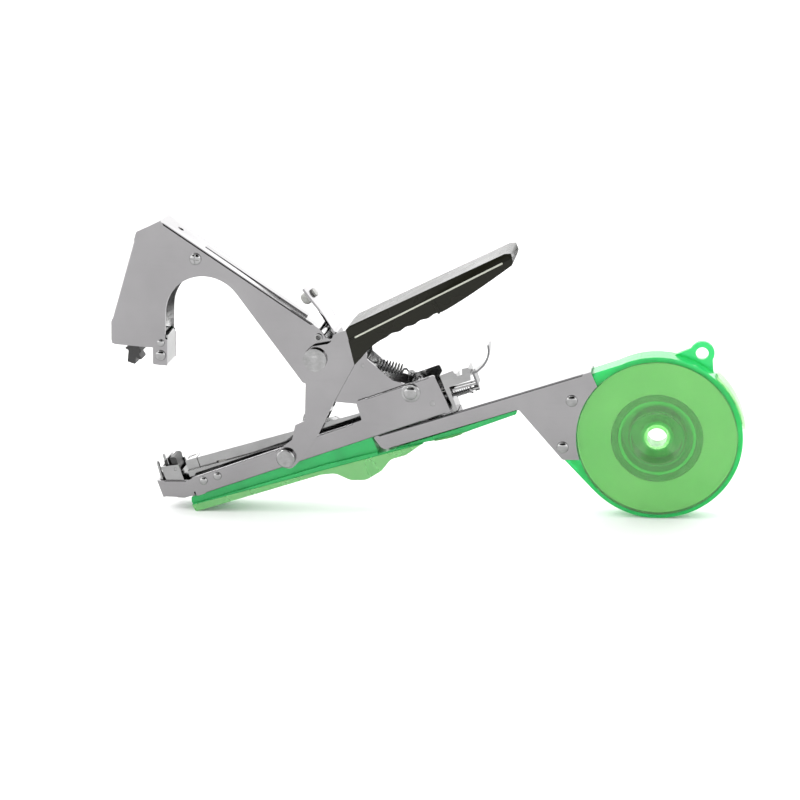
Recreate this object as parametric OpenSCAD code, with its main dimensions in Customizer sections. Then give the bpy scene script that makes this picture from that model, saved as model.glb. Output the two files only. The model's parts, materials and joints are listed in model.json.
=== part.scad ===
// Hand tapener: a plier-like tool that wraps a plastic tape round a stem, staples it and cuts it.
// Everything is drawn in the bench frame: X runs back along the lower arm, Z is square to it,
// Y = 0 is the tool's middle plane and the origin is the arm pivot. stand() then sets the tool
// on its front grip corner and its reel case, which is how it rests on a table.
// Points in the side view are [x, z]. The jaw arm is drawn closed and swung open by arm_open.

/* [Motion] */
// Angle the jaw arm stands open at rest
arm_open = 23.5; // [16:0.5:23.5]
// Angle the handle turns from rest to fully squeezed
handle_travel = 13.2; // [10:0.1:13.2]

/* [Sheet metal] */
// Thickness of the pressed steel sheet
sheet_t = 1.2; // [1:0.1:1.4]
// Outer width of the folded jaw arm
arm_w = 18; // [17.6:0.2:19]
// Clearance between neighbouring side plates
plate_gap = 0.3; // [0.2:0.05:0.4]
// Radial clearance of a pin in its moving bore
pin_fit = 0.06; // [0.03:0.01:0.1]

/* [Jaw arm] */
// Distance from the arm pivot to the front of the jaw
jaw_reach = 166; // [160:1:170]
// Height of the jaw's lower edge above the pivot when closed
jaw_floor = 11.5; // [11:0.5:13]
// Height of the jaw's front top corner when closed
jaw_top = 75; // [70:1:80]
// Radius of the throat between the jaw and the arm
throat_r = 22; // [18:0.5:23]
// Radius of the arm pivot pin
arm_pin_r = 3; // [2.5:0.1:3.2]

/* [Handle] */
// Distance of the handle pivot in front of the arm pivot
handle_pivot_back = 78; // [76:0.5:80]
// Distance of the handle pivot below the arm pivot
handle_pivot_drop = 13; // [12.5:0.1:13.2]
// Distance from the handle pivot to the cam pin
cam_reach = 59; // [58:0.5:60]
// Radius of the cam pin
cam_pin_r = 2; // [1.8:0.1:2.2]
// Length of the black grip
grip_len = 98; // [85:1:105]
// Width of the black grip
grip_w = 26; // [25.6:0.2:28]
// Length of the stop tongue
tongue_len = 28; // [24:1:30]

/* [Lower arm] */
// Length of the front frame ahead of the arm pivot
front_len = 136; // [134:0.5:138]
// Length of the front frame behind the arm pivot
cheek_back = 15.5; // [13:0.5:16]
// Height of the cheeks above the arm pivot
cheek_rise = 5; // [4.8:0.1:6]
// Depth of the front frame below the arm pivot
frame_drop = 16.8; // [16.6:0.1:17.4]
// Outer width of the rear frame
rear_w = 15.6; // [15.2:0.2:16.4]
// Height of the rear frame's side walls
rear_h = 8.4; // [7.6:0.2:9]
// Width of the green hand grip
hand_grip_w = 20; // [17:0.5:21]
// Depth of the finger rest under the hand grip
finger_rest = 10.5; // [6:0.5:12]

/* [Magazine] */
// Width of the staple magazine
mag_w = 12.4; // [11.6:0.2:13]
// Width of a staple's crown
staple_crown = 6; // [5.6:0.1:6.4]
// Length of a staple's leg
staple_leg = 4.8; // [4:0.2:5]
// Length of the staple strip
strip_len = 52; // [30:1:60]

/* [Reel] */
// Outer radius of the reel case
case_r = 44.7; // [43:0.1:46]
// Width of the reel case
case_w = 14.8; // [14.4:0.1:15.6]
// Wall of the reel case
case_wall = 1.3; // [1.1:0.1:1.4]
// Gap between a full tape roll and the case's wall
roll_gap = 1.9; // [1.5:0.1:12]
// Inner radius of the tape roll
roll_bore_r = 24.2; // [23:0.1:25]
// Width of the tape
tape_w = 11; // [9:0.1:11.2]
// Radius of the hanging hole
hang_hole_r = 3.3; // [3:0.1:3.6]
// Thickness of the hanging ear
ear_t = 2.6; // [2:0.1:3]

/* [Hidden] */

$fn = 48;
join = 0.02; // sunk depth of one solid into its neighbour where they are one piece

// Half widths of the nested side plates, from the middle plane outwards
arm_y1 = arm_w/2;
arm_y0 = arm_y1 - sheet_t;
frame_y0 = arm_y1 + plate_gap;
frame_y1 = frame_y0 + sheet_t;
handle_y0 = frame_y1 + plate_gap;
handle_y1 = handle_y0 + sheet_t;
rear_y1 = rear_w/2;
rear_y0 = rear_y1 - sheet_t;
mag_y = mag_w/2;

// Slight slopes of the two halves of the lower arm about the arm pivot
front_slope = 1;
rear_slope = 0.8;

// Heights on the lower arm
floor_z = -frame_drop;
wall_z = -5.8;
rear_top_z = floor_z - 1.4;
rear_low_z = rear_top_z - rear_h;
grip_low_z = -27.4;

// The magazine slopes up to its front and tips down about its rear pin when it staples
mag_tilt = 2.45;
mag_press = 2.2;
mag_top_z = -5.05;
cover_h = 5.7;
ledge_z = mag_top_z - cover_h - 0.1;
mag_low_z = -14.4;

// The jaw's front, and the line on which the knife comes down in front of the magazine
arm_front = -jaw_reach;
tab_x0 = arm_front + 23.4;
tab_x1 = arm_front + 31.4;
blade_x = tab_x0 + 2.7;
blade_t = 0.5;

// Reel case: its rim keeps its place at the front and at the top
case_c = [70.3 + case_r, -20.8 - case_r];
function rim(a, d) = case_c + (case_r + d)*[cos(a), sin(a)];
roll_r = case_r - case_wall - roll_gap;
case_y = case_w/2;
neck_y = rear_y0 - 0.1;
face_r = case_r - 2.5;
lid_gap = 0.3;
lip_t = 1.2;
latch_low = 12; // degrees the lid's latch lip reaches below the case's centre line
jaw_front_r = 2.5;

// Rest on the front grip corner and the reel case
grip_toe = [-front_len - 3.8, grip_low_z];
grip_belly = [-64, -28.6];
toe_r = 1.2;
grip_nose = grip_toe + [-0.8, 5.6];
toe_c = fillet_centre(grip_belly, grip_toe, grip_nose, toe_r);
toe_run = case_c - toe_c;
stand_angle = asin((case_r - toe_r)/norm(toe_run)) - atan2(toe_run.y, toe_run.x);

// Pivots and the cam
handle_pivot = [-handle_pivot_back, -handle_pivot_drop];
cam_rest_angle = 52.4;
cam_arm = cam_reach*[cos(cam_rest_angle), sin(cam_rest_angle)];
cam_ratio = arm_open/handle_travel;
cam_rest = handle_pivot + cam_arm;

// Positive angles turn clockwise in the side view
function cw(p, a) = [p.x*cos(a) + p.y*sin(a), p.y*cos(a) - p.x*sin(a)];
function unit(v) = v/norm(v);
function normal(v) = [-v.y, v.x]/norm(v);
function arc(c, r, a0, a1, n = 16) = [for (i = [0:n]) c + r*[cos(a0 + (a1 - a0)*i/n), sin(a0 + (a1 - a0)*i/n)]];

// Outline with rounded corners from a list of [x, z, radius]
function corner(a, p, b, r, n = 6) =
    let (u = unit(a - p), v = unit(b - p))
    let (half = acos(u*v)/2)
    let (run = r/tan(half))
    let (o = fillet_centre(a, p, b, r))
    let (s = p + u*run - o, e = p + v*run - o)
    let (a0 = atan2(s.y, s.x), turn = (atan2(e.y, e.x) - a0 + 540)%360 - 180)
    [for (i = [0:n]) o + r*[cos(a0 + turn*i/n), sin(a0 + turn*i/n)]];
function fillet_centre(a, p, b, r) =
    let (u = unit(a - p), v = unit(b - p))
    p + unit(u + v)*(r/sin(acos(u*v)/2));
function xz(p) = [p.x, p.y];
function rounded(pts) = [
    for (i = [0:len(pts) - 1])
        let (a = pts[(i + len(pts) - 1)%len(pts)], p = pts[i], b = pts[(i + 1)%len(pts)])
        each p[2] > 0 ? corner(xz(a), xz(p), xz(b), p[2]) : [xz(p)]
];

// Ribbon of thickness t on the left of an open path
function side_of(path, i, t) =
    let (n0 = normal(path[max(i, 1)] - path[max(i, 1) - 1]))
    let (n1 = normal(path[min(i + 1, len(path) - 1)] - path[min(i + 1, len(path) - 1) - 1]))
    let (m = unit(n0 + n1))
    path[i] + m*(t/(m*n1));
function ribbon(path, t) = concat(path, [for (i = [len(path) - 1:-1:0]) side_of(path, i, t)]);

// Centre of the cam pin seen from the closed arm, for a handle turned by h
function cam_path_at(h) = cw(handle_pivot + cw(cam_arm, h), -(arm_open - cam_ratio*h));
cam_steps = 16;
cam_path = [for (i = [0:cam_steps]) cam_path_at(handle_travel*i/cam_steps)];

// A closed wire swept along a route. The ring's frame is carried along it without twist.
function heading(route, i) = unit(route[min(i + 1, len(route) - 1)] - route[max(i - 1, 0)]);
function carried(route, i, u) =
    let (d = heading(route, i), w = unit(u - d*(u*d)))
    i == len(route) - 1 ? [w] : concat([w], carried(route, i + 1, w));
module wire(route, r, start, n = 6) {
    last = len(route) - 1;
    frames = carried(route, 0, start);
    points = [
        for (i = [0:last], k = [0:n - 1])
            let (u = frames[i], w = cross(heading(route, i), u))
            route[i] + r*(u*cos(360*k/n) + w*sin(360*k/n))
    ];
    sides = [
        for (i = [0:last - 1], k = [0:n - 1])
            let (a = i*n + k, b = i*n + (k + 1)%n)
            each [[a + n, b + n, b], [a + n, b, a]]
    ];
    ends = [[for (k = [0:n - 1]) k], [for (k = [n - 1:-1:0]) last*n + k]];
    polyhedron(points = points, faces = concat(sides, ends), convexity = 8);
}

// A slab of a side-view outline between two Y values
module slab(y0, y1) {
    translate([0, y1, 0])
        rotate([90, 0, 0])
            linear_extrude(y1 - y0)
                children();
}
module slab_mid(half) {
    slab(-half, half)
        children();
}
module both_sides() {
    children();
    mirror([0, 1, 0])
        children();
}
module cross_pin(p, r, y0, y1) {
    translate([p.x, y1, p.y])
        rotate([90, 0, 0])
            cylinder(r = r, h = y1 - y0);
}
// A low domed head on the +Y side of a plate
module domed_head(p, r, y, h) {
    translate([p.x, y, p.y])
        rotate([-90, 0, 0])
            rotate_extrude()
                polygon(concat([[0, 0], [r, 0]], [for (a = [0:15:90]) [r*cos(a), h*(0.35 + 0.65*sin(a))]]));
}
module flat_head(p, r, y, h) {
    edge = min(0.5, h/3);
    translate([p.x, y, p.y])
        rotate([-90, 0, 0])
            rotate_extrude()
                polygon([[0, 0], [r, 0], [r, h - edge], [r - edge, h], [0, h]]);
}

// Frames of reference
stand_left = cw([-jaw_reach + jaw_front_r, jaw_floor + jaw_front_r], arm_open - stand_angle).x - jaw_front_r;
stand_right = cw(case_c, -stand_angle).x + (case_r + lid_gap + lip_t)*cos(stand_angle - latch_low);
stand_low = cw(toe_c, -stand_angle).y - toe_r;
module stand() {
    translate([-(stand_left + stand_right)/2, 0, -stand_low])
        rotate([0, -stand_angle, 0])
            children();
}
module front_axis() {
    rotate([0, -front_slope, 0])
        children();
}
module rear_axis() {
    rotate([0, rear_slope, 0])
        children();
}
module as_open() {
    rotate([0, arm_open, 0])
        children();
}

// ---------------------------------------------------------------- lower arm
cheek_front = -31;
rivet_r = 2.2;
nose_rivet_at = [[-front_len + 7.4, -9.6], [-front_len + 16, -9.6]];
mag_pin_at = [9, -9.4];
floor_front = max(-front_len - 0.4, arm_front + 29.6);
mag_pin_r = 1.5;
joint_rivet_at = [-19, 5];
joint_rivet_r = 2;
head_h = 1.2;

module front_frame() {
    wall = rounded([
        [-front_len, floor_z, 1], [cheek_back + 1, floor_z, 1], [cheek_back, cheek_rise, 1.2],
        [cheek_front + 0.8, cheek_rise, 1.5], [cheek_front, wall_z, 1], [-front_len + 1, wall_z, 1.5]
    ]);
    color("silver")
        front_axis()
            difference() {
                union() {
                    both_sides()
                        slab(frame_y0, frame_y1)
                            polygon(wall);
                    slab_mid(frame_y0 + join)
                        polygon([
                            [floor_front, floor_z], [cheek_back + 1, floor_z],
                            [cheek_back + 1, floor_z + sheet_t], [floor_front, floor_z + sheet_t]
                        ]);
                }
                cross_pin([0, 0], arm_pin_r, -frame_y1 - 1, frame_y1 + 1);
                cross_pin(cw(handle_pivot, front_slope), stud_r, -frame_y1 - 1, frame_y1 + 1);
                cross_pin(mag_pin_at, mag_pin_r, -frame_y1 - 1, frame_y1 + 1);
                for (p = nose_rivet_at)
                    cross_pin(p, rivet_shank_r, -frame_y1 - 1, frame_y1 + 1);
                for (x = joint_rivet_at)
                    translate([x, 0, floor_z - 1])
                        cylinder(r = joint_rivet_r, h = sheet_t + 2);
            }
}

rivet_shank_r = 1.3;
module nose_rivets() {
    color("gainsboro")
        front_axis()
            both_sides()
                for (p = nose_rivet_at) {
                    cross_pin(p, rivet_shank_r, frame_y0 - sheet_t, frame_y1 + join);
                    domed_head(p, rivet_r, frame_y1, head_h);
                }
}

// Rivets through the floor of the front frame and the roof of the rear frame
module frame_rivets() {
    color("gainsboro")
        for (x = joint_rivet_at)
            front_axis()
                translate([x, 0, 0]) {
                    translate([0, 0, rear_top_z - sheet_t - 1.6])
                        cylinder(r = joint_rivet_r, h = floor_z + sheet_t - rear_top_z + sheet_t + 1.6);
                    translate([0, 0, floor_z + sheet_t])
                        cylinder(r = joint_rivet_r + 1, h = 0.8);
                    translate([0, 0, floor_z - 0.7])
                        cylinder(r = joint_rivet_r + 2, h = 0.7);
                    translate([0, 0, rear_top_z - sheet_t - 2.2])
                        cylinder(r = joint_rivet_r + 1, h = 0.8);
                }
}

// The rear frame: an inverted channel whose walls flare into plates that hold the reel case
rear_front = -29;
rear_end = 94.5;
flare_front = 51.5;
case_screw_at = [rim(136.07, 4.45), rim(167.13, 5.15)];
case_screw_r = 1.6;
function on_plate(a, d, r) = let (p = cw(rim(a, d), -rear_slope)) [p.x, p.y, r];
module rear_outline() {
    difference() {
        polygon(rounded([
            [rear_front, rear_top_z, 1], [rear_front + 2.5, rear_low_z, 3.5], [flare_front, rear_low_z, 2],
            on_plate(175.07, 6.54, 2), on_plate(177.99, -2.79, 0), on_plate(151, -15.31, 0),
            on_plate(120.25, -5.14, 0), [rear_end, rear_top_z, 0]
        ]));
        translate(cw(case_c, -rear_slope))
            circle(r = face_r + 0.3, $fn = 96);
    }
}
module rear_frame() {
    color("silver")
        rear_axis()
            difference() {
                union() {
                    both_sides()
                        slab(rear_y0, rear_y1)
                            rear_outline();
                    slab_mid(rear_y0 + join)
                        polygon([
                            [rear_front + 1, rear_top_z], [rear_end, rear_top_z],
                            [rear_end, rear_top_z - sheet_t], [rear_front + 1, rear_top_z - sheet_t]
                        ]);
                }
                // the far plate stands clear of the lid
                slab(0, rear_y1 + 1)
                    translate(cw(case_c, -rear_slope))
                        circle(r = case_r + 0.5, $fn = 96);
                for (x = joint_rivet_at)
                    rotate([0, -rear_slope - front_slope, 0])
                        translate([x, 0, rear_top_z - sheet_t - 2])
                            cylinder(r = joint_rivet_r + 0.1, h = sheet_t + 4);
                for (p = case_screw_at)
                    cross_pin(cw(p, -rear_slope), case_screw_r, -rear_y1 - 1, rear_y1 + 1);
            }
}

module case_screws() {
    color("gainsboro")
        for (p = case_screw_at) {
            cross_pin(p, case_screw_r, -rear_y1 - join, rear_y1 + join);
            both_sides()
                domed_head(p, 3.1, rear_y1, 1.6);
        }
}

// Green hand grip under the lower arm, with a hollow rest for the fingers
grip_rail_y = hand_grip_w/2 - 1.4;
grip_top_gap = 0.1;
grip_screw_at = [-112, -52];
module hand_grip() {
    top = cw([-front_len - 4, floor_z - grip_top_gap], -front_slope);
    shelf = cw([rear_front - 1, floor_z - grip_top_gap], -front_slope);
    rest_low = -28.5 - finger_rest;
    under = [
        [50, -29.2, 1.5], [12, -30.6, 8], [-4, -28.8, 8], [-15, -32.2, 6], [-24, -32, 6],
        [-31, -36.6, 6], [-41, rest_low, 8], [-49.5, rest_low + 2.6, 8], [-56, -30.2, 8],
        [grip_belly.x, grip_belly.y, 6]
    ];
    outline = rounded(concat(
        [[grip_toe.x, grip_toe.y, toe_r], [grip_nose.x, grip_nose.y, 1], [top.x, top.y, 0]],
        [[shelf.x, shelf.y, 0], [rear_front - 0.6, rear_low_z - 0.5, 0], [50, rear_low_z - 0.8, 0]],
        under));
    color([0.3, 0.8, 0.42])
        difference() {
            union() {
                slab_mid(grip_rail_y)
                    polygon(outline);
                slab_mid(hand_grip_w/2)
                    intersection() {
                        polygon(outline);
                        polygon([
                            [-142, -23], [-60, -24], [-30, -26], [0, -29.4], [30, -31],
                            [30, -60], [-142, -60]
                        ]);
                    }
            }
            // screw pockets
            for (x = grip_screw_at)
                translate([x, 0, -60])
                    cylinder(r = 3.2, h = 60 - 23);
            for (x = grip_screw_at)
                translate([x, 0, -40])
                    cylinder(r = 1.5, h = 40);
        }
}
module grip_screws() {
    color("gainsboro")
        for (x = grip_screw_at) {
            top = cw([x, floor_z - grip_top_gap], -front_slope).y;
            translate([x, 0, -23])
                cylinder(r = 1.5, h = top + 23);
            translate([x, 0, -24.8])
                cylinder(r = 2.9, h = 1.8);
        }
}

// Pivot pins
stud_r = 2.5;
module arm_pivot_pin() {
    color("gainsboro") {
        cross_pin([0, 0], arm_pin_r, -frame_y1 - join, frame_y1 + join);
        both_sides() {
            domed_head([0, 0], 5.2, frame_y1, 0.9);
            domed_head([0, 0], 3.6, frame_y1 + 0.4, 1.5);
        }
    }
}
module handle_studs() {
    color("silver")
        both_sides() {
            cross_pin(handle_pivot, stud_r, frame_y0 - 1.3, handle_y1 + 0.4);
            cross_pin(handle_pivot, stud_r + 1.4, frame_y0 - 1.4, frame_y0);
            flat_head(handle_pivot, 5.1, handle_y1 + 0.2, 2.6);
        }
}

// Collar on the arm pivot pin with the lug that holds the return spring
anchor_at = [1.7, 7.4];
module spring_anchor() {
    lug = unit(anchor_at);
    color("silver")
        slab_mid(sheet_t/2)
            difference() {
                union() {
                    circle(r = collar_r);
                    polygon([
                        [-2.2, 0], [2.8, 0], anchor_at + [2.1, 0], anchor_at + [-2.1, 0]
                    ]);
                    translate(anchor_at)
                        circle(r = 2.1);
                }
                circle(r = arm_pin_r);
                translate(anchor_at)
                    circle(r = 0.9);
            }
}

// Rear block and the leg that carries it on the rear frame
block_y = 6;
guide_z = -10.8;
leg_x0 = cheek_back + 1.6;
leg_x1 = leg_x0 + 2.5;
module rear_block() {
    color("silver")
        difference() {
            union() {
                slab_mid(block_y)
                    polygon([
                        [leg_x0, -1.2], [33.2, -1.2], [33.2, 2.4], [29.6, 2.8], [28.8, -0.2],
                        [25.6, -0.2], [24.6, 3.4], [leg_x0, 3]
                    ]);
                both_sides()
                    slab(block_y - sheet_t, block_y)
                        polygon([
                            [leg_x0, -18.1], [leg_x1, -18.15], [leg_x1, -4.6], [32, -4.6],
                            [33.2, -1.1], [leg_x0, -1.1]
                        ]);
                slab_mid(block_y)
                    polygon([[leg_x1 - 1.4, -18.1], [leg_x1, -18.15], [leg_x1, -8.7], [leg_x1 - 1.4, -8.7]]);
            }
            // way for the plunger
            translate([10, 0, guide_z])
                rotate([0, 90, 0])
                    cylinder(r = plunger_r + pin_fit, h = 30);
        }
}

// ---------------------------------------------------------------- nose
// Points on the nose are measured back from the jaw's front
function tip(x, z) = [arm_front + x, z];
nose_y = 8;
nose_in_y = 6.5;
cap_y = nose_y - 1;
cap_in_y = nose_y - 2.2;
clamp_at = tip(23.4, -1.6);
clamp_pin_r = 0.9;
shell_top = [tip(11, -4.3), tip(28.4, -10)];
// The cap's top line, and a point on the housing's top line
function on_cap(x) = tip(x, 2.2 - 0.175*(x - 15.7));
function on_shell(x) = let (k = (x - shell_top[0].x)/(shell_top[1].x - shell_top[0].x))
    [x, shell_top[0].y + k*(shell_top[1].y - shell_top[0].y)];
module nose_housing() {
    shell = [shell_top[0], shell_top[1], tip(28.6, -18.8), tip(22, -18.6), tip(10.6, -14.4)];
    hollow = [tip(12.2, 0), tip(40, 0), tip(40, -17.2), tip(21.7, -17.2), tip(12, -13.4)];
    ear_back = -front_len + 19;
    color("darkgray") {
        difference() {
            slab_mid(nose_y)
                polygon(shell);
            slab_mid(nose_in_y)
                polygon(hollow);
        }
        // ears riveted inside the frame's walls
        both_sides()
            difference() {
                slab(frame_y0 - sheet_t, frame_y0)
                    polygon([tip(26.5, -16.8), tip(26.5, -12.5), tip(29.4, -9.4), [ear_back, -8.6], [ear_back, -15.4]]);
                for (p = nose_rivet_at)
                    cross_pin(cw(p, -front_slope), rivet_shank_r, 0, frame_y1);
            }
        // bent ends that carry the ears
        both_sides()
            slab(nose_y - join, frame_y0 - sheet_t + join)
                polygon([tip(26.5, -16.8), tip(26.5, -12.5), tip(28, -11), tip(28.4, -16.8)]);
    }
}
module nose_cap() {
    well_z = -3.8;
    color("gainsboro")
        difference() {
            slab_mid(cap_y)
                polygon([on_shell(arm_front + 15.8), on_shell(arm_front + 25.7), on_cap(26), on_cap(15.7)]);
            // way for the tape
            slab_mid(tape_w/2 + 0.3)
                polygon([tip(16.7, -12), tip(16.7, 5), tip(17.8, 5), tip(17.8, -12)]);
            // well of the clamp
            slab_mid(cap_in_y)
                polygon([tip(20.2, well_z), tip(20.2, 5), tip(30, 5), tip(30, well_z)]);
            cross_pin(clamp_at, clamp_pin_r, -nose_y, nose_y);
        }
    // leaf between the two pads
    color("gainsboro")
        slab_mid(cap_in_y - 0.4)
            polygon([tip(19.4, -3), tip(20, -3), tip(20.7, 5.2), tip(20.2, 5.6)]);
}
module nose_pad() {
    color([0.12, 0.12, 0.12])
        slab_mid(cap_in_y - 0.4)
            polygon([on_cap(18), on_cap(19.5), tip(19.8, 4.8), tip(18.2, 4.4)]);
}
module tape_lip() {
    // the tape catch passes between the two horns
    color("gainsboro")
        difference() {
            slab_mid(cap_y)
                polygon([
                    on_shell(arm_front + 13), on_shell(arm_front + 14.2), tip(15.5, 5.2), tip(15.1, 6), tip(14.5, 5.6)
                ]);
            translate([arm_front + 10, -catch_y - 0.5, -1.4])
                cube([8, 2*catch_y + 1, 12]);
        }
}
module clamp_pin() {
    color("gainsboro")
        cross_pin(clamp_at, clamp_pin_r, -cap_y + 0.1, cap_y - 0.1);
}
module tape_clamp() {
    color([0.12, 0.12, 0.12])
        difference() {
            union() {
                slab_mid(cap_in_y - 0.3)
                    polygon(rounded([
                        [arm_front + 21.9, 0.8, 0.4], [arm_front + 25.2, 0.5, 0.4], [arm_front + 25.6, 3.9, 0.6],
                        [arm_front + 24.6, 4.9, 0.6], [arm_front + 22.2, 5.3, 0.5]
                    ]));
                slab_mid(cap_in_y - 0.3)
                    hull() {
                        translate(clamp_at)
                            circle(r = 1.6);
                        translate(clamp_at + [0.2, 2.6])
                            circle(r = 0.9);
                    }
            }
            cross_pin(clamp_at, clamp_pin_r + pin_fit, -nose_y, nose_y);
            // gap between the two pads
            slab_mid(0.8)
                polygon([tip(20, 1.6), tip(22.8, 1.6), tip(22.8, 8), tip(20, 8)]);
        }
}

// ---------------------------------------------------------------- magazine
// Drawn along its own slope: X along the magazine, Z square to it, the arm pivot at the origin
module mag_axis() {
    rotate([0, mag_tilt, 0])
        children();
}
mag_front = tab_x0 + 6.2;
mag_back = 12;
block_len = 7;
box_y = 4.4;
box_t = 0.8;
box_in_y = box_y - box_t;
pin_in_mag = cw(cw(mag_pin_at, -front_slope), -mag_tilt);
driver_t = 0.6;
driver_half = staple_crown/2 - 0.1;
staple_x = mag_front + 0.95;
slot_x0 = staple_x - driver_t/2 - 0.15;
slot_x1 = staple_x + driver_t/2 + 0.55;
strip_x = slot_x1 + 0.1;
strip_z = ledge_z + 0.1;
rail_y = staple_crown/2 - 0.9;
rail_low = strip_z + 0.8;
collar_r = arm_pin_r + 1.5;
cover_end = -collar_r - 0.8;
module staple_driver() {
    top = cw([staple_x, strip_z - 0.2], mag_tilt + front_slope);
    color("silver")
        front_axis()
            translate([top.x - driver_t/2, -driver_half, floor_z + sheet_t])
                cube([driver_t, 2*driver_half, top.y - floor_z - sheet_t]);
}
module lift_leaf() {
    low = floor_z + sheet_t;
    leaf_x = arm_front + 68;
    half = 24;
    rise = cw([leaf_x, ledge_z - 1], mag_tilt + front_slope).y - low - 0.6;
    r = (half*half + rise*rise)/(2*rise);
    a = asin(half/r);
    color("silver")
        front_axis()
            slab_mid(2.5)
                polygon(ribbon(concat(
                    [[leaf_x - half - 2, low]], arc([leaf_x, low + rise - r], r, 90 + a, 90 - a, 8),
                    [[leaf_x + half + 2, low]]
                ), 0.4));
}
module magazine_pin() {
    color("gainsboro")
        front_axis()
            cross_pin(mag_pin_at, mag_pin_r, -frame_y1, frame_y1);
}
module magazine_channel() {
    ear_top = pin_in_mag.y + mag_pin_r + 0.5;
    color("gainsboro")
        mag_axis()
            difference() {
                union() {
                    // side walls with ears for the rear pin
                    both_sides()
                        slab(mag_y - 1, mag_y)
                            polygon([
                                [mag_front, mag_low_z], [mag_back, mag_low_z], [mag_back, ear_top],
                                [pin_in_mag.x - 3, ear_top], [pin_in_mag.x - 7, ledge_z], [mag_front, ledge_z]
                            ]);
                    slab_mid(mag_y - 1 + join)
                        polygon([
                            [mag_front, ledge_z - 1], [cover_end, ledge_z - 1], [cover_end, ledge_z], [mag_front, ledge_z]
                        ]);
                    // end block round the first staples
                    slab_mid(box_y)
                        polygon([
                            [mag_front, ledge_z - join], [mag_front + block_len, ledge_z - join],
                            [mag_front + block_len, mag_top_z], [mag_front + 0.4, mag_top_z],
                            [mag_front, mag_top_z - 0.4]
                        ]);
                }
                slab_mid(staple_crown/2 + 0.1)
                    polygon([
                        [slot_x0, ledge_z], [mag_front + block_len + 1, ledge_z],
                        [mag_front + block_len + 1, mag_top_z - box_t], [slot_x0, mag_top_z - box_t]
                    ]);
                // slot that the driver and the staple pass through
                translate([slot_x0, -driver_half - 0.2, ledge_z - 2])
                    cube([slot_x1 - slot_x0, 2*driver_half + 0.4, 2*cover_h]);
                cross_pin(pin_in_mag, mag_pin_r + pin_fit, -mag_y - 1, mag_y + 1);
            }
}
module magazine_cover() {
    x0 = mag_front + block_len + 0.4;
    color("gainsboro")
        mag_axis()
            difference() {
                slab_mid(box_y)
                    polygon([[x0, ledge_z], [cover_end, ledge_z], [cover_end, mag_top_z], [x0, mag_top_z]]);
                both_sides()
                    slab(rail_y, box_in_y)
                        polygon([
                            [x0 - 1, ledge_z - 1], [cover_end + 1, ledge_z - 1],
                            [cover_end + 1, mag_top_z - box_t], [x0 - 1, mag_top_z - box_t]
                        ]);
                slab_mid(rail_y + join)
                    polygon([
                        [x0 - 1, ledge_z - 1], [cover_end + 1, ledge_z - 1], [cover_end + 1, rail_low], [x0 - 1, rail_low]
                    ]);
                // lightening slots in the side walls
                for (x = [x0 + 10, x0 + 60])
                    translate([x, -mag_w, ledge_z - join])
                        cube([5.3, 2*mag_w, 0.9]);
            }
    // nose of the rail, inside the end block
    color("gainsboro")
        mag_axis()
            slab_mid(rail_y)
                polygon([
                    [slot_x1 + 0.1, rail_low], [x0 + join, rail_low],
                    [x0 + join, mag_top_z - box_t - 0.2], [slot_x1 + 0.1, mag_top_z - box_t - 0.2]
                ]);
}
module staple_strip() {
    color("lightgray")
        mag_axis()
            difference() {
                translate([strip_x, -staple_crown/2, strip_z])
                    cube([strip_len, staple_crown, staple_leg]);
                translate([strip_x - 1, -staple_crown/2 + 0.6, strip_z + 0.6])
                    cube([strip_len + 2, staple_crown - 1.2, staple_leg]);
            }
}

// Pusher: a shoe behind the staples on two bars that pull out at the back
bar_y0 = rail_y + 0.25;
bar_y1 = box_in_y - 0.2;
bar_top = mag_top_z - box_t - 0.1;
bar_low = bar_top - 1.1;
shoe_len = 14;
shoe_x = strip_x + strip_len + 0.2;
module pusher_shoe() {
    color("gray")
        mag_axis()
            difference() {
                translate([shoe_x, -bar_y1, strip_z])
                    cube([shoe_len, 2*bar_y1, bar_top - strip_z]);
                translate([shoe_x - 1, -rail_y - 0.15, rail_low - 0.15])
                    cube([shoe_len + 2, 2*rail_y + 0.3, 12]);
            }
}

// ---------------------------------------------------------------- reel
hub_r = 6.8;
hub_bore = 5.2;
funnel_r = 14.6;
funnel_depth = 3.2;
lid_t = 1.3;
ear_angle = 44;
ear_reach = case_r + 5.6;
ear_r = 6.4;
ear_y = 3.2;
ear_at = case_c + ear_reach*[cos(ear_angle), sin(ear_angle)];
face_back = -case_y + case_wall;
neck_top = rear_top_z - sheet_t - 1.6;
module reel_case() {
    back_y = case_y - lid_t - 0.1;
    color([0.35, 0.85, 0.45])
        difference() {
            union() {
                // drum
                slab(face_back, back_y)
                    translate(case_c)
                        circle(r = case_r, $fn = 96);
                // neck between the flared plates
                slab(-neck_y, neck_y - 1.4)
                    case_neck(0);
                // hanging ear
                slab(ear_y - ear_t/2, ear_y + ear_t/2)
                    ear_outline();
            }
            // room for the roll and the reel, and the step that carries the face
            slab(face_back + case_wall, case_y)
                translate(case_c)
                    circle(r = case_r - case_wall, $fn = 96);
            slab(-case_y, case_y)
                translate(case_c)
                    circle(r = face_r - 0.4, $fn = 96);
            slab(-case_y, face_back)
                translate(case_c)
                    circle(r = face_r, $fn = 96);
            slab(-neck_y + case_wall, case_y)
                difference() {
                    case_neck(case_wall);
                    for (p = case_screw_at)
                        translate(p)
                            circle(r = case_screw_r + 1.6);
                }
            for (p = case_screw_at)
                cross_pin(p, case_screw_r, -case_y, case_y);
        }
}
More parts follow.
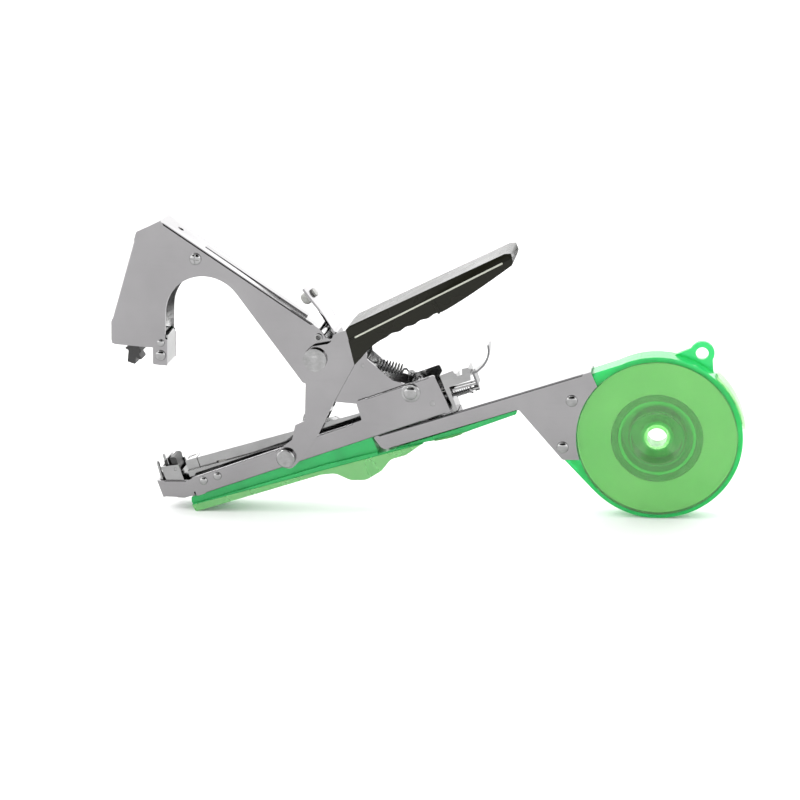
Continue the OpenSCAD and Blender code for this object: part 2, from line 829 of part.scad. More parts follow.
// Near face of the case with its funnel and the hub tube that the reel turns on
module case_face() {
    color([0.2, 0.75, 0.38])
        slab(-case_y, face_back)
            translate(case_c)
                difference() {
                    circle(r = face_r, $fn = 96);
                    circle(r = funnel_r);
                }
    color([0.2, 0.75, 0.38])
        translate([case_c.x, -case_y, case_c.y])
            rotate([-90, 0, 0])
                rotate_extrude()
                    polygon([
                        [funnel_r + join, 0], [funnel_r + join, case_wall], [funnel_r - 0.6, case_wall + 0.4],
                        [hub_r + 1.2, funnel_depth + 1], [hub_r, funnel_depth + 1],
                        [hub_r, case_w - lid_t - 0.4], [hub_bore, case_w - lid_t - 0.4],
                        [hub_bore, funnel_depth - 0.2], [hub_r + 0.6, funnel_depth - 0.2], [funnel_r - 1.2, 0]
                    ]);
}
module case_neck(g) {
    polygon([
        case_c + [6, case_r - 0.2 - g], [rear_end, neck_top - g], [54 + g, neck_top - g],
        [54 + g, -33.5 + g], [64.6 + g, -61.5 + g], case_c + (case_r - g)*[cos(202), sin(202)],
        case_c + [0, 0]
    ]);
}
module ear_outline() {
    base = [for (a = [ear_angle + 17, ear_angle - 14]) case_c + (case_r - 0.6)*[cos(a), sin(a)]];
    side = normal(ear_at - case_c);
    difference() {
        union() {
            translate(ear_at)
                circle(r = ear_r);
            polygon([
                base[0], case_c + (case_r - 0.6)*[cos(ear_angle + 5), sin(ear_angle + 5)],
                case_c + (case_r - 0.6)*[cos(ear_angle - 5), sin(ear_angle - 5)], base[1],
                ear_at - side*ear_r*0.96, ear_at + side*ear_r*0.96
            ]);
        }
        translate(ear_at)
            circle(r = hang_hole_r);
    }
}

core_y = tape_w/2 - 0.2;
core_ring_r = 20.5;
module reel_core() {
    color([0.45, 0.85, 0.5])
        difference() {
            union() {
                // outer ring and the six ribs that hold the roll
                slab_mid(core_y)
                    translate(case_c) {
                        difference() {
                            circle(r = core_ring_r);
                            circle(r = core_ring_r - 1.6);
                        }
                        for (k = [0:5])
                            rotate(60*k + 15)
                                translate([core_ring_r - 0.6, -0.6])
                                    square([roll_bore_r - core_ring_r + 0.5, 1.2]);
                    }
                // hub ring and web
                slab(-2.2, core_y)
                    translate(case_c)
                        circle(r = hub_r + 2);
                slab(core_y - 1.4, core_y)
                    translate(case_c)
                        circle(r = core_ring_r - 0.5);
            }
            cross_pin(case_c, hub_r + pin_fit, -case_y, case_y);
        }
}
module tape_roll() {
    color([0.75, 0.9, 0.75])
        difference() {
            cross_pin(case_c, roll_r, -tape_w/2, tape_w/2);
            cross_pin(case_c, roll_bore_r, -case_y, case_y);
        }
}

// Lid on the far side of the case, with a latch lip over the rim. Its hinge stands upright on the
// far plate of the rear frame, so the lid swings like a door.
lid_r = case_r - lid_gap;
hinge_angle = 180 - stand_angle;
hinge_pin_r = 0.8;
hinge_r = 1.9;
hinge_y = rear_y1 + 0.2 + hinge_r;
leaf_knuckle = 4.8;
hinge_z0 = -17.7;
hinge_z1 = 1.1;
lid_z0 = hinge_z0 + leaf_knuckle + 0.3;
lid_z1 = hinge_z1 - leaf_knuckle - 0.3;
// X outwards from the reel, Y across the tool, Z along the hinge
module at_hinge() {
    translate([case_c.x, 0, case_c.y])
        rotate([0, -hinge_angle, 0])
            translate([case_r + 0.8, 0, 0])
                children();
}
module latch_sector() {
    polygon([case_c, for (a = [28, -latch_low]) case_c + 1.4*case_r*[cos(a), sin(a)]]);
}
module case_lid() {
    y0 = case_y - lid_t;
    color([0.4, 0.88, 0.5])
        difference() {
            union() {
                slab(y0, case_y)
                    translate(case_c)
                        circle(r = lid_r, $fn = 96);
                // latch lip round the rim
                slab(-case_y + 3, case_y)
                    intersection() {
                        translate(case_c)
                            difference() {
                                circle(r = case_r + lid_gap + lip_t, $fn = 96);
                                circle(r = case_r + lid_gap, $fn = 96);
                            }
                        latch_sector();
                    }
                slab(y0, case_y)
                    intersection() {
                        translate(case_c)
                            difference() {
                                circle(r = case_r + lid_gap + lip_t, $fn = 96);
                                circle(r = lid_r - 1, $fn = 96);
                            }
                        latch_sector();
                    }
                at_hinge()
                    translate([0, 0, lid_z0]) {
                        translate([0, hinge_y, 0])
                            cylinder(r = hinge_r, h = lid_z1 - lid_z0);
                        linear_extrude(lid_z1 - lid_z0)
                            polygon([
                                [-9, case_y - 0.2], [-3.3, case_y - 0.2], [-2.7, rear_y1 + 0.4], [0, rear_y1 + 0.4],
                                [0, hinge_y + 1], [-4, hinge_y - 0.6], [-9, case_y + 0.6]
                            ]);
                    }
            }
            at_hinge()
                translate([0, hinge_y, hinge_z0])
                    cylinder(r = hinge_pin_r + pin_fit, h = hinge_z1 - hinge_z0);
            cross_pin(case_c, hub_bore + 0.4, 0, case_y + 1);
        }
}
module hinge_leaf() {
    color("silver")
        at_hinge()
            difference() {
                union() {
                    translate([hinge_r + 0.4, rear_y1, hinge_z0])
                        cube([5, 0.9, hinge_z1 - hinge_z0]);
                    for (z = [hinge_z0, hinge_z1 - leaf_knuckle]) {
                        translate([0, hinge_y, z])
                            cylinder(r = hinge_r, h = leaf_knuckle);
                        translate([0.2, rear_y1, z])
                            cube([hinge_r + 0.4, 0.9, leaf_knuckle]);
                        translate([0.2, rear_y1, z])
                            cube([hinge_r - 0.2, hinge_y - rear_y1, leaf_knuckle]);
                    }
                }
                translate([0, hinge_y, hinge_z0 - 1])
                    cylinder(r = hinge_pin_r, h = hinge_z1 - hinge_z0 + 2);
            }
}
module lid_hinge_pin() {
    color("gainsboro")
        at_hinge()
            translate([0, hinge_y, hinge_z0])
                cylinder(r = hinge_pin_r, h = hinge_z1 - hinge_z0);
}

// ---------------------------------------------------------------- jaw arm (drawn closed)
throat_c = [arm_front + 52.4, 31.8];
throat_to = 39.7;
tab_low = 2;
arm_crest = tip(27, jaw_top + 7);
arm_tail = [-51, 30.4];
arm_screw_at = tip(46.8, jaw_top - 12);
arm_screw_r = 1.6;
knuckle_at = [-51.2, 25.6];
knuckle_r = 2.2;
spring_hook = [-26.7, 12.2];
spring_pin_r = 1;
jaw_rivet_at = [tab_x0 + 4.4, jaw_floor + 3.1];
jaw_screw_at = [tab_x0 + 4.4, jaw_floor - 3.9];
jaw_screw_r = 1.4;
catch_at = tip(10.6, jaw_floor + 4);
catch_pin_r = 1.2;

arm_roof = [
    [arm_front, jaw_floor], [arm_front, jaw_floor + 12.5], tip(14, jaw_top), tip(21.4, jaw_top + 3.9),
    arm_crest, arm_tail
];
module arm_outline() {
    throat = arc(throat_c, throat_r, 180, throat_to, 20);
    polygon(concat(
        rounded([
            [tab_x1, tab_low, 1], [tab_x0, tab_low, 1], [tab_x0, jaw_floor, 0], [arm_front, jaw_floor, jaw_front_r],
            [arm_front, jaw_floor + 12.5, 1], [arm_front + 14, jaw_top, 1.5], [arm_front + 21.4, jaw_top + 3.9, 1.5],
            [arm_crest.x, arm_crest.y, 1], [arm_tail.x, arm_tail.y, 0.8], [-46.5, 24.8, 1.5],
            [-36, 28.4, 2], [-28.8, 29.4, 2], [-25.2, 20.6, 1], [-24.6, 16, 1], [-10.4, 5.4, 1.5],
            [4.6, 2.6, 3], [3.2, -5.4, 3], [-5, -9.6, 4], [-46, -9.6, 5], [-57.9, -0.5, 4]
        ]),
        [for (i = [len(throat) - 1:-1:0]) throat[i]],
        [[tab_x1 - 1.2, 17.4], [tab_x1, 16.4]]
    ));
}
module cam_slot(r) {
    first = unit(cam_path[1] - cam_path[0]);
    final = unit(cam_path[cam_steps] - cam_path[cam_steps - 1]);
    a0 = atan2(first.y, first.x);
    a1 = atan2(final.y, final.x);
    polygon(concat(
        [for (i = [1:cam_steps - 1]) side_of(cam_path, i, r)],
        arc(cam_path[cam_steps], r, a1 + 90, a1 - 90, 12),
        [for (i = [cam_steps - 1:-1:1]) side_of(cam_path, i, -r)],
        arc(cam_path[0], r, a0 + 270, a0 + 90, 12)
    ));
}
module arm_shell() {
    color("silver")
        as_open()
            difference() {
                union() {
                    both_sides()
                        slab(arm_y0, arm_y1)
                            arm_outline();
                    slab_mid(arm_y0 + join)
                        polygon(ribbon(arm_roof, -sheet_t));
                }
                cross_pin([0, 0], arm_pin_r + pin_fit, -arm_y1 - 1, arm_y1 + 1);
                slab_mid(arm_y1 + 1)
                    cam_slot(cam_pin_r + 0.25);
                cross_pin(arm_screw_at, arm_screw_r, -arm_y1 - 1, arm_y1 + 1);
                cross_pin(knuckle_at, knuckle_r, -arm_y1 - 1, arm_y1 + 1);
                cross_pin(spring_hook, spring_pin_r, -arm_y1 - 1, arm_y1 + 1);
                for (p = [jaw_rivet_at, jaw_screw_at])
                    cross_pin(p, jaw_screw_r, -arm_y1 - 1, arm_y1 + 1);
                // keyhole in the roof of the jaw
                translate([arm_front + 36.2, 0, jaw_top - 5])
                    cylinder(r = 1.5, h = 14);
            }
}
module arm_screw() {
    color("gainsboro")
        as_open()
            difference() {
                union() {
                    cross_pin(arm_screw_at, arm_screw_r, -arm_y1 - join, arm_y1 + join);
                    cross_pin(arm_screw_at, arm_screw_r + 1.2, -arm_y0, arm_y0);
                    both_sides()
                        domed_head(arm_screw_at, 3.2, arm_y1, 1.5);
                }
                // cross slot in the near head
                translate([arm_screw_at.x - 2.4, -arm_y1 - 2, arm_screw_at.y - 0.35])
                    cube([4.8, 1.1, 0.7]);
                translate([arm_screw_at.x - 0.35, -arm_y1 - 2, arm_screw_at.y - 2.4])
                    cube([0.7, 1.1, 4.8]);
            }
}
module arm_knuckle() {
    color("gainsboro")
        as_open()
            difference() {
                cross_pin(knuckle_at, knuckle_r, -arm_y1 - 0.8, arm_y1 + 0.8);
                cross_pin(knuckle_at, knuckle_r - 0.9, -arm_y1 - 1, arm_y1 + 1);
            }
}
module spring_pin() {
    color("gainsboro")
        as_open()
            cross_pin(spring_hook, spring_pin_r, -arm_y1, arm_y1);
}
holder_y = arm_y0;
anvil_low = tab_low + 0.2;
anvil_back = tab_x1 - 0.1;
anvil_front = blade_x + blade_t + 1.7;
module clincher() {
    groove_x = cw([staple_x, mag_top_z], mag_tilt).x;
    color("dimgray")
        as_open()
            difference() {
                slab_mid(holder_y - sheet_t)
                    polygon([
                        [anvil_front, anvil_low], [anvil_back - 0.4, anvil_low], [anvil_back, anvil_low + 0.4],
                        [anvil_back, 18.6], [anvil_back - 1.3, 19], [anvil_back - 1.3, 11.8], [anvil_front, 11.8]
                    ]);
                // the two hollows that curl the staple's legs
                for (y = [-1.6, 1.6])
                    translate([groove_x, y, anvil_low])
                        rotate([0, 90, 0])
                            cylinder(r = 1.2, h = 1, center = true);
            }
}
blade_y = holder_y - sheet_t;
seat_x = blade_x + blade_t;
module blade_holder() {
    color("gainsboro")
        as_open()
            difference() {
                union() {
                    both_sides()
                        slab(holder_y - sheet_t, holder_y)
                            polygon([
                                [blade_x, 3], [anvil_back, 3], [anvil_back, 19],
                                [tab_x0 + 0.5, 19], [tab_x0 + 0.5, 10.4], [blade_x, 9.4]
                            ]);
                    // seat of the blade
                    slab_mid(holder_y - sheet_t + join)
                        polygon([[seat_x, 8], [seat_x + 1, 8], [seat_x + 1, 17.4], [seat_x, 17.4]]);
                    // tube round the jaw rivet
                    cross_pin(jaw_rivet_at, jaw_screw_r + 0.5, -holder_y + 1, holder_y - 1);
                }
                for (p = [jaw_rivet_at, jaw_screw_at])
                    cross_pin(p, jaw_screw_r, -arm_y1 - 1, arm_y1 + 1);
                // pocket that takes the top of the blade
                translate([blade_x - 3, -blade_y, 0])
                    cube([seat_x - blade_x + 3, 2*blade_y, blade_top + 0.2]);
            }
}
blade_top = jaw_floor + 0.6;
blade_low = 0.4;
module cutter_blade() {
    teeth = 9;
    pitch = 2*blade_y/teeth;
    color("lightgray")
        as_open()
            translate([blade_x, 0, 0])
                rotate([90, 0, 90])
                    linear_extrude(blade_t)
                        polygon(concat(
                            [[-blade_y, blade_top], [-blade_y, blade_low + 1.8]],
                            [for (i = [0:teeth - 1]) each [
                                [-blade_y + (i + 0.5)*pitch, blade_low], [-blade_y + (i + 1)*pitch, blade_low + 1.8]
                            ]],
                            [[blade_y, blade_top]]
                        ));
}
module jaw_screws() {
    color("gainsboro")
        as_open() {
            cross_pin(jaw_rivet_at, jaw_screw_r, -arm_y1 - join, arm_y1 + join);
            both_sides()
                domed_head(jaw_rivet_at, 2.1, arm_y1, 1);
            both_sides() {
                cross_pin(jaw_screw_at, jaw_screw_r, holder_y - sheet_t, arm_y1 + join);
                domed_head(jaw_screw_at, 2.9, arm_y1, 1.4);
            }
        }
}
catch_y = 4.5;
catch_arm_y = catch_y + 0.3;
module catch_bracket() {
    bar = catch_at.y + 8;
    color("silver")
        as_open()
            difference() {
                union() {
                    both_sides()
                        slab(catch_arm_y, catch_arm_y + sheet_t)
                            polygon(rounded([
                                [catch_at.x - 3.2, catch_at.y - 3, 2], [catch_at.x + 3.2, catch_at.y - 3, 2],
                                [catch_at.x + 4, bar + 0.5, 0], [catch_at.x - 4, bar + 0.5, 0]
                            ]));
                    slab_mid(arm_y0)
                        polygon([
                            [catch_at.x - 4, bar - 0.5], [catch_at.x + 4, bar - 0.5],
                            [catch_at.x + 4, bar + 0.7], [catch_at.x - 4, bar + 0.7]
                        ]);
                }
                cross_pin(catch_at, catch_pin_r, -arm_y1, arm_y1);
            }
}
module catch_pin() {
    color("gainsboro")
        as_open()
            cross_pin(catch_at, catch_pin_r, -catch_arm_y - sheet_t, catch_arm_y + sheet_t);
}
module tape_catch() {
    color([0.1, 0.1, 0.1])
        as_open()
            translate([catch_at.x, 0, catch_at.y])
                difference() {
                    slab_mid(catch_y)
                        polygon(rounded([
                            [-4.8, -7.1, 0.4], [-2.4, -8.1, 0.4], [-3, -14.7, 0.8], [1.5, -15.9, 0.5],
                            [1.8, -11.9, 0.4], [4.8, -13.1, 0.2], [4.8, -12.1, 0.2], [3.4, -9.9, 0.4],
                            [5, -8.3, 0.6], [3.6, -6.3, 0.6], [2.6, 0.5, 1.6], [0, 2.5, 1.6],
                            [-2.6, 0.5, 1.4], [-2.4, -5.9, 0.6]
                        ]));
                    cross_pin([0, 0], catch_pin_r + pin_fit, -arm_y1, arm_y1);
                }
}

// ---------------------------------------------------------------- handle (drawn at rest)
grip_root = [-20, 41.4];
grip_angle = 6.2;
grip_tip_h = 5;
web_z = 43.4;
tongue_root = [-28.3, web_z - 0.8];
grip_y1 = grip_w/2;
shank_len = 62;
function on_grip(u, v) = grip_root + [u*cos(grip_angle) - v*sin(grip_angle), u*sin(grip_angle) + v*cos(grip_angle)];

module handle_outline() {
    shank_end = on_grip(shank_len, 0);
    polygon(rounded([
        [-27.6, web_z, 1.2], [-18.4, web_z + 0.2, 0], xy0(on_grip(shank_len, 1.2)), xy0(on_grip(shank_len, -3.6)),
        xy0(on_grip(6, -8)), [-22.6, 24.6, 1], [-40.6, 8.8, 20], [-56.5, -6.6, 20], [-68.6, -15.6, 3],
        [-78, -20.2, 4], [-84.8, -16, 5], [-84.4, -9, 3], [-71.2, -4.6, 2], [-66.4, 2.8, 0.6], [-60.4, 3.4, 1.5],
        [-49.6, 29, 5], [-48.2, 38.2, 5], [-41, 40.9, 4], [-31, 39.4, 3]
    ]));
}
function xy0(p) = [p.x, p.y, 0];
module handle_frame() {
    // web and stop tongue are one bent strip
    strip = ribbon(concat([on_grip(shank_len, 1.2), [-18.4, web_z + 0.2], [-25, web_z]],
        arc([tongue_root.x + 2.8, web_z + 2.2], 2.2, 265, 190, 4),
        [[-30.4, web_z + 15], [-33, web_z + 0.82*tongue_len], [-34.4, web_z + tongue_len]]), sheet_t);
    color("silver")
        difference() {
            union() {
                both_sides()
                    slab(handle_y0, handle_y1)
                        handle_outline();
                slab_mid(handle_y0 + join)
                    intersection() {
                        polygon(strip);
                        translate([-26, 0])
                            square([grip_len, 2*web_z]);
                    }
                slab_mid(handle_y0 - 1.8)
                    polygon(strip);
            }
            cross_pin(cam_rest, cam_pin_r + 0.02, -handle_y1 - 1, handle_y1 + 1);
            cross_pin(handle_pivot, stud_r + pin_fit, -handle_y1 - 1, handle_y1 + 1);
            // bumper rivet
            translate([bumper_at.x, 0, bumper_at.y])
                rotate([0, 90 - bumper_tilt, 0])
                    cylinder(r = 1.2, h = 4, center = true);
        }
}
bumper_at = [-33.44, 65.8];
bumper_tilt = 18.1; // degrees its axis points below the lower arm's line
bumper_len = 6.6;
module tongue_bumper() {
    neck = sheet_t/2 + 0.07;
    color([0.7, 0.7, 0.68])
        translate([bumper_at.x, 0, bumper_at.y])
            rotate([0, -90 - bumper_tilt, 0])
                rotate_extrude()
                    polygon([
                        [0, -2], [2.4, -2], [2.4, -neck], [1.18, -neck], [1.18, neck], [3.6, neck],
                        [3.2, bumper_len - 1], [2.4, bumper_len], [0, bumper_len]
                    ]);
}
module cam_pin() {
    color("gainsboro") {
        cross_pin(cam_rest, cam_pin_r, -handle_y1 - join, handle_y1 + join);
        both_sides() {
            flat_head(cam_rest, 5.4, handle_y1, 0.7);
            domed_head(cam_rest, 4, handle_y1 + 0.6, 1.6);
            // washer that keeps the arm centred
            difference() {
                cross_pin(cam_rest, cam_pin_r + 1.6, arm_y1 + 0.1, handle_y0);
                cross_pin(cam_rest, cam_pin_r - 0.1, arm_y1, handle_y0 + 1);
            }
        }
    }
}

finger_waves = 4;
wave_start = 18;
wave_len = 34;
wave_end = wave_start + wave_len;
wave_rise = 0.4;
belly = 10;
hollow_end = 72;
module handle_grip() {
    under = [
        for (i = [0:60])
            let (u = 1.5 + (grip_len - 3.5)*i/60)
            on_grip(u, u < wave_start ? -belly - 5.1*pow(1 - u/wave_start, 2)
                     : u < wave_end ? -belly + wave_rise*(1 - cos(360*finger_waves*(u - wave_start)/wave_len))
                     : -belly + (belly - 2.6)*pow((u - wave_end)/(grip_len - wave_end), 1.3))
    ];
    side = concat(
        [[-22.4, 24.6], [-20.6, 38]], [on_grip(0.2, 2.6), on_grip(3, 3.6), on_grip(grip_len - 3, 3.9)],
        [on_grip(grip_len, 2.7), on_grip(grip_len - 0.6, -1.4)],
        [for (i = [60:-1:0]) under[i]]
    );
    color([0.14, 0.14, 0.1])
        difference() {
            slab_mid(grip_y1)
                polygon(side);
            // seat of the steel plates and web
            both_sides()
                slab(handle_y0 - 0.02, handle_y1 + 0.02)
                    handle_outline();
            slab_mid(handle_y0)
                polygon([
                    [-26, web_z + 0.01], on_grip(shank_len, 1.21), on_grip(shank_len, 1.15 - sheet_t),
                    [-26, web_z - sheet_t - 0.56]
                ]);
            // open underside where the arm, the spring, the cheeks and the finger leaf come in
            slab_mid(handle_y0)
                polygon([
                    [-30, 20], [-30, web_z - 0.6], on_grip(4, 0.6), on_grip(30, 0.3),
                    on_grip(hollow_end, -3.2), on_grip(hollow_end + 1, -6), on_grip(hollow_end, -20)
                ]);
        }
}

// ---------------------------------------------------------------- springs and small parts
wire_r = 0.55;
spring_r = 2.9;
spring_turns = 9;
module return_spring() {
    hook = cw(spring_hook, arm_open);
    span = anchor_at - hook;
    dir = unit(span);
    up = [-dir.y, dir.x];
    reach = norm(span);
    coil0 = 6;
    coil1 = reach - 5;
    steps = spring_turns*10;
    eye = spring_pin_r + wire_r + 0.15;
    coil_r = spring_r - wire_r;
    function on(s, a, y) = let (p = hook + dir*s + up*a) [p.x, y, p.y];
    // the coil opens out from, and closes in to, its straight ends
    function swell(i) = min(coil_r, 1.3 + 0.2*i, 1.3 + 0.2*(steps - i));
    color("gray")
        wire(concat(
            [for (a = [230:-30:50]) on(eye*cos(a), eye*sin(a), 0)],
            [on(eye + 1.5, 0.6, 0.1), on(eye + 2.9, 0.3, 0.6)],
            [for (i = [0:steps]) on(coil0 + (coil1 - coil0)*i/steps, swell(i)*sin(36*i), swell(i)*cos(36*i))],
            [on(reach - 3.6, 0.3, 1.5), on(reach - 2, 0, 1.8), on(reach - 0.7, 0, 1.5), on(reach - 0.1, 0, 0.7)],
            [on(reach, 0, -0.2), on(reach, 0, -1.4)]
        ), wire_r, [0, 1, 0], 6);
}

plunger_r = 0.9;
plunger_travel = 3;
plunger_x0 = 12;
plunger_x1 = 33;
module plunger() {
    color("gainsboro")
        translate([0, 0, guide_z])
            rotate([0, 90, 0]) {
                translate([0, 0, plunger_x0])
                    cylinder(r = plunger_r, h = plunger_x1 - plunger_x0);
                translate([0, 0, plunger_x1 - 4])
                    cylinder(r = 2.4, h = 0.9);
                translate([0, 0, plunger_x1 - 1.6])
                    cylinder(r = 1.7, h = 2.6);
            }
}
module plunger_spring() {
    x0 = 20.2;
    x1 = plunger_x1 - 4.5;
    turns = 7;
    steps = turns*10;
    color("gray")
        wire([for (i = [0:steps]) [
            x0 + (x1 - x0)*i/steps, 1.55*cos(36*i), guide_z + 1.55*sin(36*i)
        ]], 0.32, [1, 0, 0], 6);
}

pusher_x1 = 34;
module pusher_bars() {
    color("gainsboro")
        mag_axis()
            both_sides()
                translate([shoe_x + shoe_len, bar_y0, bar_low])
                    cube([pusher_x1 - shoe_x - shoe_len, bar_y1 - bar_y0, bar_top - bar_low]);
}
leaf_w = 9;
leaf_t = 1.1;
module finger_leaf() {
    foot = cw([pusher_x1, bar_top], mag_tilt);
    color("dimgray")
        slab_mid(leaf_w/2)
            polygon(ribbon(concat(
                [[foot.x, foot.y - 1.4], [foot.x, -1.4]],
                [[foot.x + 1.3, -1], [foot.x + 2.9, -0.9]],
                arc([foot.x, 12], 13, 300, 342, 8),
                [[46.6, 10.4]]
            ), -leaf_t));
}

stand() front_frame();
stand() rear_frame();
stand() hand_grip();
stand() grip_screws();
stand() nose_housing();
stand() nose_cap();
stand() nose_pad();
stand() tape_lip();
stand() nose_rivets();
stand() clamp_pin();
stand() staple_driver();
stand() lift_leaf();
stand() magazine_pin();
stand() arm_pivot_pin();
stand() spring_anchor();
stand() handle_studs();
stand() frame_rivets();
stand() rear_block();
stand() reel_case();
stand() case_face();
stand() case_screws();
stand() arm_shell();
stand() clincher();
stand() blade_holder();
stand() cutter_blade();
stand() jaw_screws();
stand() arm_screw();
stand() arm_knuckle();
stand() spring_pin();
stand() catch_bracket();
stand() tape_catch();
stand() catch_pin();
stand() handle_frame();
stand() handle_grip();
stand() cam_pin();
stand() tongue_bumper();
stand() magazine_channel();
stand() magazine_cover();
stand() staple_strip();
stand() pusher_shoe();
stand() pusher_bars();
stand() finger_leaf();
stand() plunger();
stand() plunger_spring();
stand() tape_clamp();
stand() reel_core();
stand() tape_roll();
stand() case_lid();
stand() lid_hinge_pin();
stand() hinge_leaf();
stand() return_spring();
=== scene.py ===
# %% [markdown]
# # A squeeze stapler for tying plants
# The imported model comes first. It fixes every size and place, so no step moves or resizes it.
# The lesson puts finishes on it, lets rounded copies stand in for its bent and cut parts, and
# adds a few small surface shapes. All lengths are in metres, with X to the right, Z up and the
# tool's middle plane at Y = 0.

# %% Load the frame
import json
import math

import bmesh
import bpy
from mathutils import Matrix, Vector

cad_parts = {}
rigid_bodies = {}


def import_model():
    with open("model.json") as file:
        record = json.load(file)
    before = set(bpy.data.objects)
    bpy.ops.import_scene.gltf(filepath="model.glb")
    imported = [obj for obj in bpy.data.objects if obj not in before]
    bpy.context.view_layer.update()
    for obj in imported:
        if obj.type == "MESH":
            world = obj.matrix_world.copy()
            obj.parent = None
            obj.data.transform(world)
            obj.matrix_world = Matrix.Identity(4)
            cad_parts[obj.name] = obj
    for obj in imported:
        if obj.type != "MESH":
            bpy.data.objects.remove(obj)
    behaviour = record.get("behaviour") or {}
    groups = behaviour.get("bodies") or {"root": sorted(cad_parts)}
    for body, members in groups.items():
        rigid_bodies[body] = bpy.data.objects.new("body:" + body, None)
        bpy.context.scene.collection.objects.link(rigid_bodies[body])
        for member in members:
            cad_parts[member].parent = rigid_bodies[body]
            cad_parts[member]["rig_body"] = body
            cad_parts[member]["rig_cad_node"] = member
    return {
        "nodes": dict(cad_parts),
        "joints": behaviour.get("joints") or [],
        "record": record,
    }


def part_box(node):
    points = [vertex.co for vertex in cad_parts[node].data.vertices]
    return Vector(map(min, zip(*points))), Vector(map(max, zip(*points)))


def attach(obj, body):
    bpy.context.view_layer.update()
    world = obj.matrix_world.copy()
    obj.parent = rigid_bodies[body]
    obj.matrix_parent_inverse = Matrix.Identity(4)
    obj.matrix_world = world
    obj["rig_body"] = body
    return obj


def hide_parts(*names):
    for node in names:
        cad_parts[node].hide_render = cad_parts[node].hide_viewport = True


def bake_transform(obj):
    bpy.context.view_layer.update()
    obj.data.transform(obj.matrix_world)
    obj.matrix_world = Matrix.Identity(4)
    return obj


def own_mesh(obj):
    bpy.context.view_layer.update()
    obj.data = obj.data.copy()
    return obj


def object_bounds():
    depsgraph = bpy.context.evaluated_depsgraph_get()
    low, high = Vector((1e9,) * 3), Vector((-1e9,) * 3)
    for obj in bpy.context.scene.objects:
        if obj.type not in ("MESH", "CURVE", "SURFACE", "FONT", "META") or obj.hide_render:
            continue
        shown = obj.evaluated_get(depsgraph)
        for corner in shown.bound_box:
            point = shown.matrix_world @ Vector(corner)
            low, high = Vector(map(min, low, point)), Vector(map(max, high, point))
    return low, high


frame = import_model()
cad_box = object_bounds()
nodes = frame["nodes"]
MM = 0.001
print("nodes", len(nodes), "box", [round(v, 4) for corner in cad_box for v in corner])

# %% [markdown]
# ## A bench frame
# The tool stands with its lower arm sloping. Its own drawing is easier to think in: X back along
# the lower arm, Z square to it, and the arm's pivot at the origin. The pivot is a joint of the
# frame, and the plunger slides along the lower arm, so both are read from the joints.

# %% Bench places
joints = {joint["name"]: joint for joint in frame["joints"]}
pivot = Vector(joints["arm_hinge"]["pos_m"])
along = Vector(joints["plunger_slide"]["axis"]).normalized()
square = Vector((-along.z, 0, along.x))
across = Vector((0, 1, 0))


def at(x, y, z):
    """Row place of a bench point given in millimetres."""
    return pivot + (along * x + across * y + square * z) * MM


slope = math.atan2(along.z, along.x)
arm_open = math.radians(-joints["arm_hinge"]["range_deg"][0])
print("lower arm slopes", round(math.degrees(slope), 2), "degrees")
print("upper arm stands open", round(math.degrees(arm_open), 1), "degrees")

# %% [markdown]
# ## Camera
# A long lens from the front and a little above keeps the two plates of each arm nearly in line,
# and the slight roll lets the tool lie at the angle that it has on the table. Turning it by hand
# until it looks right would do as well. Here its place and its three angles are written down, so
# that the view is the same each time.

# %% Camera
LENS, SENSOR = 83.25, 36
STAND = (0.156218, -0.937075, 0.364465)
AIM = (1.2636807, 0.0420653, 0.1659544)
lens = bpy.data.cameras.new("tool_camera")
lens.lens, lens.sensor_width = LENS, SENSOR
camera = bpy.data.objects.new("tool_camera", lens)
camera.location, camera.rotation_euler = STAND, AIM
bpy.context.collection.objects.link(camera)
bpy.context.scene.camera = camera
bpy.context.scene.view_settings.view_transform = "Standard"
print("camera stands", round(Vector(STAND).length, 2), "m away behind a", LENS, "mm lens")

# %% [markdown]
# ## Table and light
# Bright plating shows whatever stands round it. A pale floor gives the side walls their even
# grey and a white sky gives the top faces their shine. Studios hang a dark cloth above the
# camera to give polished metal its drawing: only the bends can see it, so they get their thin
# dark lines. Real lamps and cloths could stand round the tool as objects, but a sky that holds
# them is lighter and never casts a hard edge on the floor. A wide soft sun lights the floor the
# same all over, and a narrower one from the upper left puts a point of light on each round head.

# %% Table
TABLE_WIDTH = 80
bpy.ops.mesh.primitive_plane_add(size=TABLE_WIDTH, location=(0, 0, cad_box[0].z))
table = bpy.context.object
table.name = "table_top"
print(table.name, TABLE_WIDTH, "m wide, so its edge lies far away")


# %% Node helpers
def put(tree, kind, **settings):
    """A new shader node; a setting is an attribute, or an input where its name has a capital."""
    made = tree.nodes.new(kind)
    for name, value in settings.items():
        if name[0].isupper():
            made.inputs[name.replace("_", " ")].default_value = value
        else:
            setattr(made, name, value)
    return made


def wire(tree, start, end):
    """Joins an output to an input."""
    tree.links.new(start, end)


def ramp(tree, stops):
    """A colour ramp with (place, grey or colour) stops."""
    made = tree.nodes.new("ShaderNodeValToRGB")
    band = made.color_ramp
    while len(band.elements) < len(stops):
        band.elements.new(0.5)
    for element, (place, colour) in zip(band.elements, stops):
        element.position = place
        element.color = colour if isinstance(colour, tuple) else (colour, colour, colour, 1)
    return made


